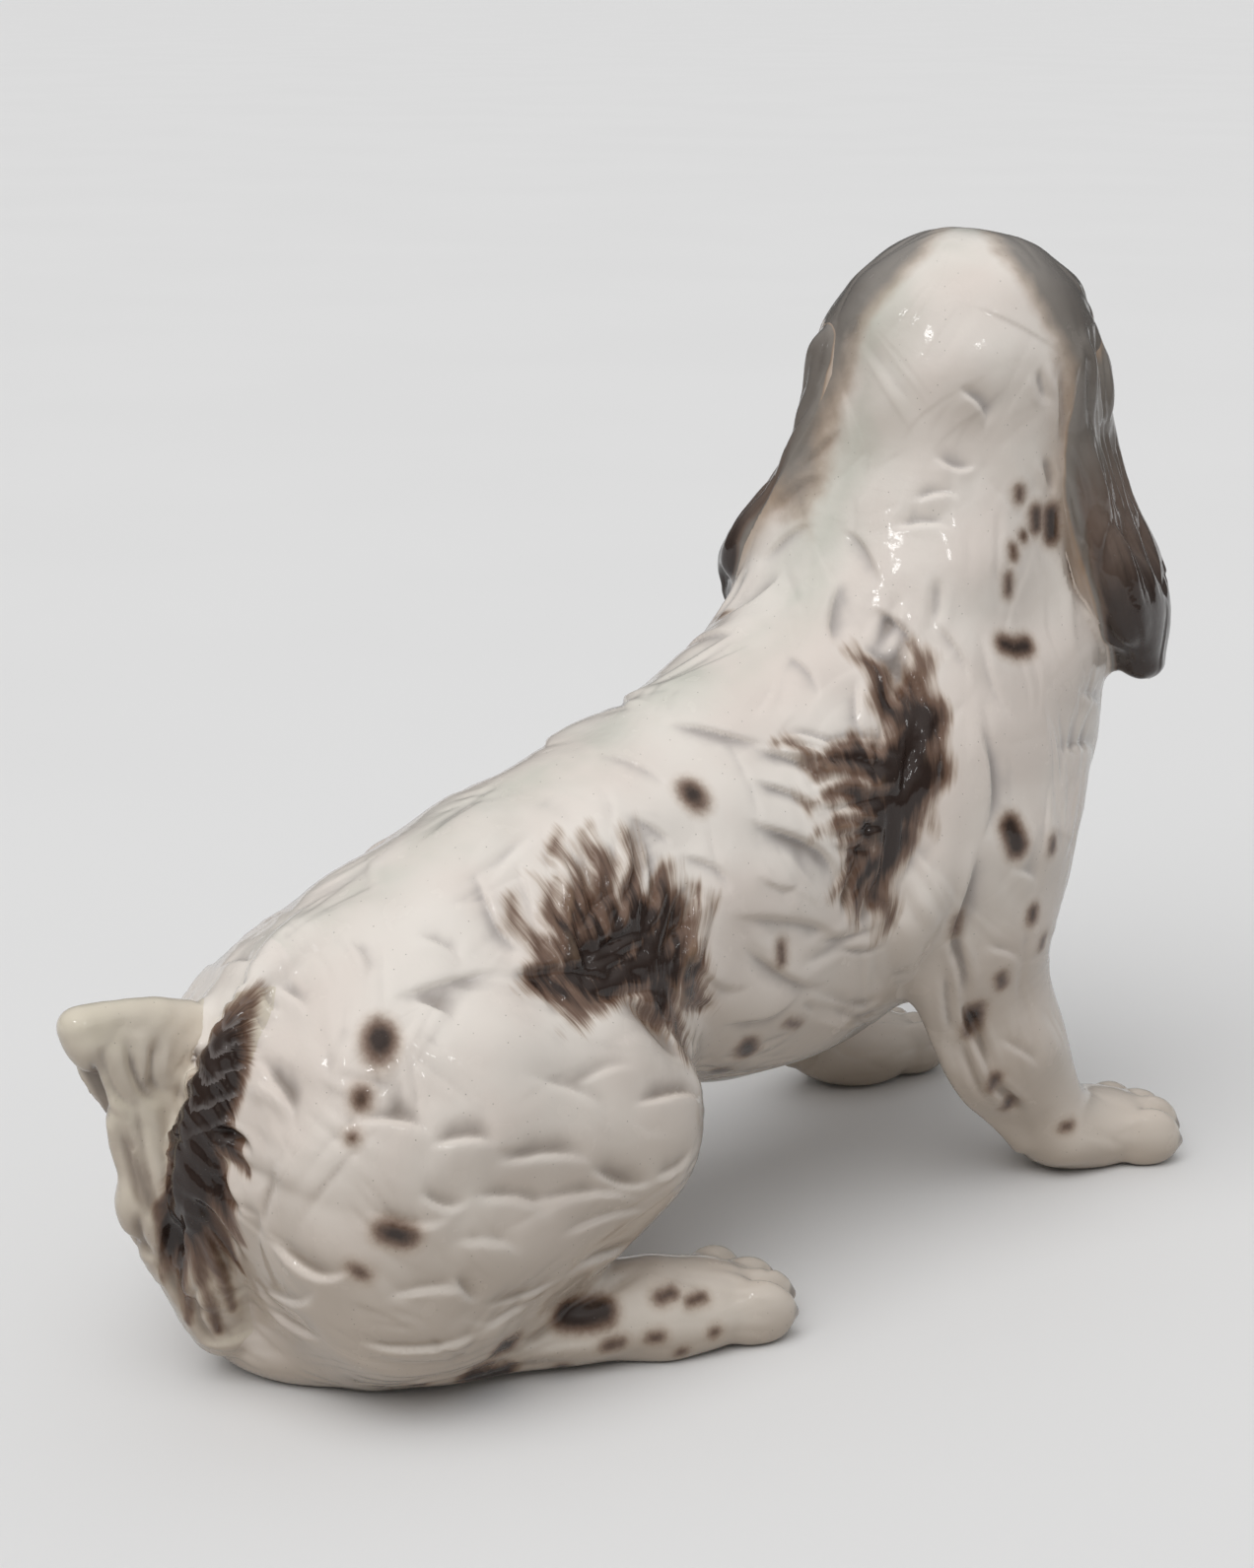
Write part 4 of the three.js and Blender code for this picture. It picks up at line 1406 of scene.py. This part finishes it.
def painted_coat(n, body, lock, coarse, streak, grain):
    """The patches, the tail's stem with its chevrons, and the spots."""
    layers = [(-3.6, 0.6, 0.55, TAN), (-1.4, 2.2, 0.9, BROWN), (1.8, 5.6, 0.96, UMBER)]
    body = airbrushed(n, body, lock, layers)
    loose = n.step(n.mask("quill"), 35.0, 60.0, 1.2, 2.0)
    stem = n.math("ADD", n.mask("stem"), n.math("MULTIPLY", streak, loose))
    layers = [(-2.0, 0.4, 0.5, TAN), (-1.2, 0.9, 0.92, BROWN), (0.2, 2.8, 0.96, UMBER)]
    body = airbrushed(n, body, stem, layers)
    chevron = n.math("ADD", n.mask("quill"), n.math("MULTIPLY", n.mask("barb"), 1.2))
    chevron = n.math("FRACT", n.math("ADD", n.math("DIVIDE", chevron, 7.2), n.math("MULTIPLY", coarse, 0.5)))
    chevron = n.math("MULTIPLY", n.step(chevron, 0.6, 0.98), n.step(n.mask("quill"), 46.0, 30.0))
    chevron = n.math("MULTIPLY", chevron, n.step(stem, 0.0, 2.0, 0.0, 0.3))
    body = n.blend(chevron, body, LILAC)
    spot = n.math("ADD", n.mask("spot"), n.math("MULTIPLY", grain, 1.5))
    layers = [(-3.6, 0.6, 0.5, TAN), (-1.8, 1.4, 0.85, BROWN), (0.2, 3.0, 0.92, UMBER)]
    return airbrushed(n, body, spot, layers)


def painted_head(n, body, lock, streak, drift, fine):
    """The cap, the dark ends of the ears, the eyes and the nose, and the claws."""
    cap = n.math("ADD", n.mask("cap"), n.math("MULTIPLY", drift, 5.0))
    layers = [(-5.0, 1.5, 0.55, TAN), (-2.0, 6.0, 0.93, SMOKE), (6.0, 22.0, 0.3, UMBER)]
    body = airbrushed(n, body, cap, layers)
    tip = n.math("ADD", n.mask("ear"), n.math("MULTIPLY", streak, 0.11))
    body = airbrushed(n, body, tip, [(0.25, 0.6, 0.55, BROWN), (0.5, 0.85, 0.9, UMBER)])
    ridge = n.math("ADD", n.mask("hollow"), n.math("MULTIPLY", fine, 0.8))
    body = n.blend(n.math("MULTIPLY", n.step(lock, 0.5, 2.5), n.step(ridge, 0.8, 1.8, 0.0, 0.3)), body, TAN)
    lids = [(-14.0, 2.0, 0.95, UMBER), (5.0, 9.0, 0.8, ROSE)]
    iris = [(12.0, 16.0, 1.0, BROWN), (36.0, 40.0, 1.0, BLACK)]
    body = airbrushed(n, body, n.mask("eye"), lids + iris)
    body = airbrushed(n, body, n.mask("nose"), [(-0.6, 0.8, 1.0, BLACK)])
    return airbrushed(n, body, n.mask("claw"), [(-0.9, 0.3, 0.8, DUSK), (0.9, 2.0, 0.85, SMOKE)])


def make_glaze(name, ground, seed):
    """Clear glaze over airbrushed underglaze colours, which the masks on the vertices place, and over painted
    shade.
    """
    material, n = new_material(name)
    place = n.add("ShaderNodeTexCoord", out=3)
    place = n.add("ShaderNodeVectorMath", place, (0, 0, 0), operation="SCALE", Scale=1 / MM)
    place = n.add("ShaderNodeVectorMath", place, (seed, seed * 2.0, -seed), operation="ADD")
    hair = n.add("ShaderNodeCombineXYZ", n.mask("comb_x"), n.math("MULTIPLY", n.mask("comb_y"), 0.075), 0.0)
    coarse = n.math("SUBTRACT", n.noise(hair, 0.32, 2.0), 0.5)
    fine = n.math("SUBTRACT", n.noise(hair, 0.95, 3.0, 0.6), 0.5)
    streak = n.math("ADD", n.math("MULTIPLY", coarse, 2.0), n.math("MULTIPLY", fine, 1.5))
    drift = n.math("SUBTRACT", n.noise(place, 0.16, 3.0), 0.5)
    grain = n.math("SUBTRACT", n.noise(place, 0.55, 4.0, 0.6), 0.5)
    lock = n.math("ADD", n.mask("patch"), n.math("MULTIPLY", streak, 4.2))

    body = glazed_clay(n, place, drift, ground)
    body = painted_coat(n, body, lock, coarse, streak, grain)
    body = painted_head(n, body, lock, streak, drift, fine)

    pit = n.step(n.add("ShaderNodeTexVoronoi", Vector=place, Scale=0.32), 0.09, 0.02)
    body = n.blend(n.math("MULTIPLY", pit, 0.55), body, PIT)
    peel = n.math("ADD", n.math("MULTIPLY", n.noise(place, 0.35, 3.0), 0.5), n.math("MULTIPLY", pit, -0.6))
    peel = n.math("ADD", peel, n.math("MULTIPLY", fine, n.step(lock, -2.0, 1.0, 0.0, 0.9)))
    bump = n.add("ShaderNodeBump", Strength=0.28, Distance=0.0006, Height=peel)
    n.surface(
        {
            "Base Color": body,
            "Roughness": n.step(n.noise(place, 0.09, 3.0), 0.3, 0.75, 0.12, 0.3),
            "Normal": bump,
            "IOR": 1.5,
            "Specular IOR Level": 0.2,
            "Coat Weight": 0.75,
            "Coat Roughness": 0.06,
            "Coat Normal": bump,
        }
    )
    return material


# ---------------------------------------------------------------- making the figure
NODES = {
    "torso_shell": "white_glaze",
    "head_shell": "white_glaze",
    "right_ear": "brown_glaze",
    "left_ear": "brown_glaze",
    "right_foreleg": "white_glaze",
    "left_foreleg": "white_glaze",
    "right_hind_leg": "white_glaze",
    "left_hind_leg": "white_glaze",
    "tail": "cream_glaze",
}
FINE_NODES = ("head_shell", "right_ear", "left_ear")


def sculpt(low, high, step):
    clay = Clay(low, high, step)
    for node in NODES:
        clay.casting(node)
    sculpt_torso(clay)
    sculpt_head(clay)
    sculpt_ears(clay)
    sculpt_legs(clay)
    sculpt_tail(clay)
    finish_clay(clay)
    return clay


def make_figure():
    low, high = box_round(NODES)
    body = sculpt(low - STAND_PROUD, high + STAND_PROUD, VOXEL)
    low, high = box_round(FINE_NODES)
    head = sculpt(low - 12, high + STAND_PROUD, VOXEL * FINE_SHARE)
    cast = cast_pieces(body, [node for node in NODES if node not in FINE_NODES])
    cast.update(cast_pieces(head, FINE_NODES))
    points = np.concatenate([places for places, _ in cast.values()])
    on_head = np.concatenate([np.full(len(places), node in FINE_NODES) for node, (places, _) in cast.items()])

    strokes = authored_strokes(body)
    strokes += fill_strokes(body, points[points[:, 2] > 5], 17.0, strokes)
    strokes += patch_strokes(body) + tail_strokes(body) + ear_strokes(head)
    normals, buried = np.zeros_like(points), np.zeros(len(points))
    for clay, mine in ((body, ~on_head), (head, on_head)):
        normals[mine] = skin_normals(clay, points[mine])
        buried[mine] = -sample(clay, clay.skin, points[mine])
    height = tool_height(points, normals, strokes)
    rise = (height + lumps(points)) * tooled_share(points, buried, on_head)
    moved = points + normals * rise[:, None]
    moved[:, 2] = np.maximum(moved[:, 2], 0)
    masks = paint_masks(body, points)
    masks["hollow"] = height
    dress_castings(cast, points, moved, masks)


def tooled_share(points, buried, on_head):
    """How much of the tooling each point gets: less at the floor, under a neighbour and on the face."""
    share = np.clip((points[:, 2] - 1.0) / 5, 0, 1) * np.clip(1 - (buried - 2) / 3, 0, 1)
    forward = HEAD.local(*points.T)[1]
    return share * np.where(on_head & (forward < -20), 0.35, 1)


def dress_castings(cast, points, moved, masks):
    """One glazed mesh for each casting, standing in for it on the root body."""
    grounds = {"white_glaze": (WHITE, 3), "brown_glaze": (ROSE, 11), "cream_glaze": (CREAM, 23)}
    glazes = {name: make_glaze(name, *look) for name, look in grounds.items()}
    first = 0
    for node, (places, quads) in cast.items():
        part = slice(first, first + len(places))
        first += len(places)
        own = {key: values[part].copy() for key, values in masks.items()}
        dress_piece(node, own, points[part])
        piece = make_mesh(f"{node}_glazed", moved[part], quads, own)
        piece.data.materials.append(glazes[NODES[node]])
        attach(piece, "root")
        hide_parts(node)


# ---------------------------------------------------------------- studio
def make_floor():
    """A wide sheet of pale paper. It throws less light up than it shows, as a floor of bounded size would."""
    mesh = bpy.data.meshes.new("studio_floor")
    half = 30
    corners = [(-half, -half, 0), (half, -half, 0), (half, half, 0), (-half, half, 0)]
    mesh.from_pydata(corners, [], [(0, 1, 2, 3)])
    floor = bpy.data.objects.new("studio_floor", mesh)
    bpy.context.scene.collection.objects.link(floor)
    material, n = new_material("pale_paper")
    shade = n.step(n.noise(n.add("ShaderNodeTexCoord", out=3), 3.0, 2.0), 0.3, 0.7, 0.0, 1.0)
    colour = n.blend(shade, tone(0.80, 0.80, 0.80), tone(0.81, 0.81, 0.81))
    colour = n.blend(n.add("ShaderNodeLightPath"), tone(0.62, 0.62, 0.62), colour)
    n.surface({"Base Color": colour, "Roughness": 0.9, "Specular IOR Level": 0.1})
    mesh.materials.append(material)


DOME_LIGHT = 0.5
KEY_LIGHT = 1.7
BACKDROP = tone(0.723, 0.723, 0.723)
AIM = Vector((0, -0.1, 0.12))  # what the softboxes look at, m


def make_dome():
    """An even backdrop to the camera, and a dome of light to the figure, brighter above."""
    world = bpy.data.worlds.new("studio_light")
    world.use_nodes = True
    bpy.context.scene.world = world
    n = Nodes(world.node_tree)
    glossy = n.add("ShaderNodeLightPath", out=3)
    up = n.add("ShaderNodeSeparateXYZ", n.add("ShaderNodeTexCoord"), out=2)
    strength = n.blend(glossy, n.step(up, -0.1, 0.95, 0.15, 1.1), n.step(up, 0.0, 1.0, 0.14, 1.1))
    light = n.add("ShaderNodeBackground", strength, DOME_LIGHT)
    backdrop = n.add("ShaderNodeBackground", BACKDROP, 1.0)
    seen = n.add("ShaderNodeLightPath")
    n.finish("ShaderNodeOutputWorld", n.add("ShaderNodeMixShader", seen, light, backdrop))


def make_lamp(name, kind, towards, power):
    data = bpy.data.lights.new(name, kind)
    data.energy = power
    lamp = bpy.data.objects.new(name, data)
    bpy.context.scene.collection.objects.link(lamp)
    lamp.rotation_euler = Vector(towards).to_track_quat("-Z", "Y").to_euler()
    return lamp


def make_lights():
    make_dome()
    key = make_lamp("key", "SUN", (0.2, -0.45, -0.87), KEY_LIGHT)
    key.data.angle = math.radians(55)
    key.visible_glossy = False
    window = ("window", (-0.2, 0.85, 0.95), (0.14, 0.09), 0.45)
    for name, place, size, power in (window, ("lamp", (-0.9, 0.2, 0.9), (0.1, 0.1), 0.35)):
        box = make_lamp(name, "AREA", AIM - Vector(place), power)
        box.data.shape = "RECTANGLE"
        box.data.size, box.data.size_y = size
        box.location = place
        box.visible_diffuse = False


def make_camera():
    """The photograph's view: from behind and the dog's right, a little above."""
    azimuth, elevation, distance = math.radians(232), math.radians(17), 0.8
    level = math.cos(elevation)
    back = Vector((math.sin(azimuth) * level, -math.cos(azimuth) * level, math.sin(elevation)))
    data = bpy.data.cameras.new("camera")
    data.sensor_fit = "VERTICAL"
    data.sensor_height = 36
    data.lens = 62.4
    camera = bpy.data.objects.new("camera", data)
    bpy.context.scene.collection.objects.link(camera)
    camera.location = Vector((0.02085, -0.103, 0.139)) + back * distance
    camera.rotation_euler = back.to_track_quat("Z", "Y").to_euler()
    bpy.context.scene.camera = camera


make_figure()
make_floor()
make_lights()
make_camera()
bpy.context.scene.view_settings.view_transform = "Standard"
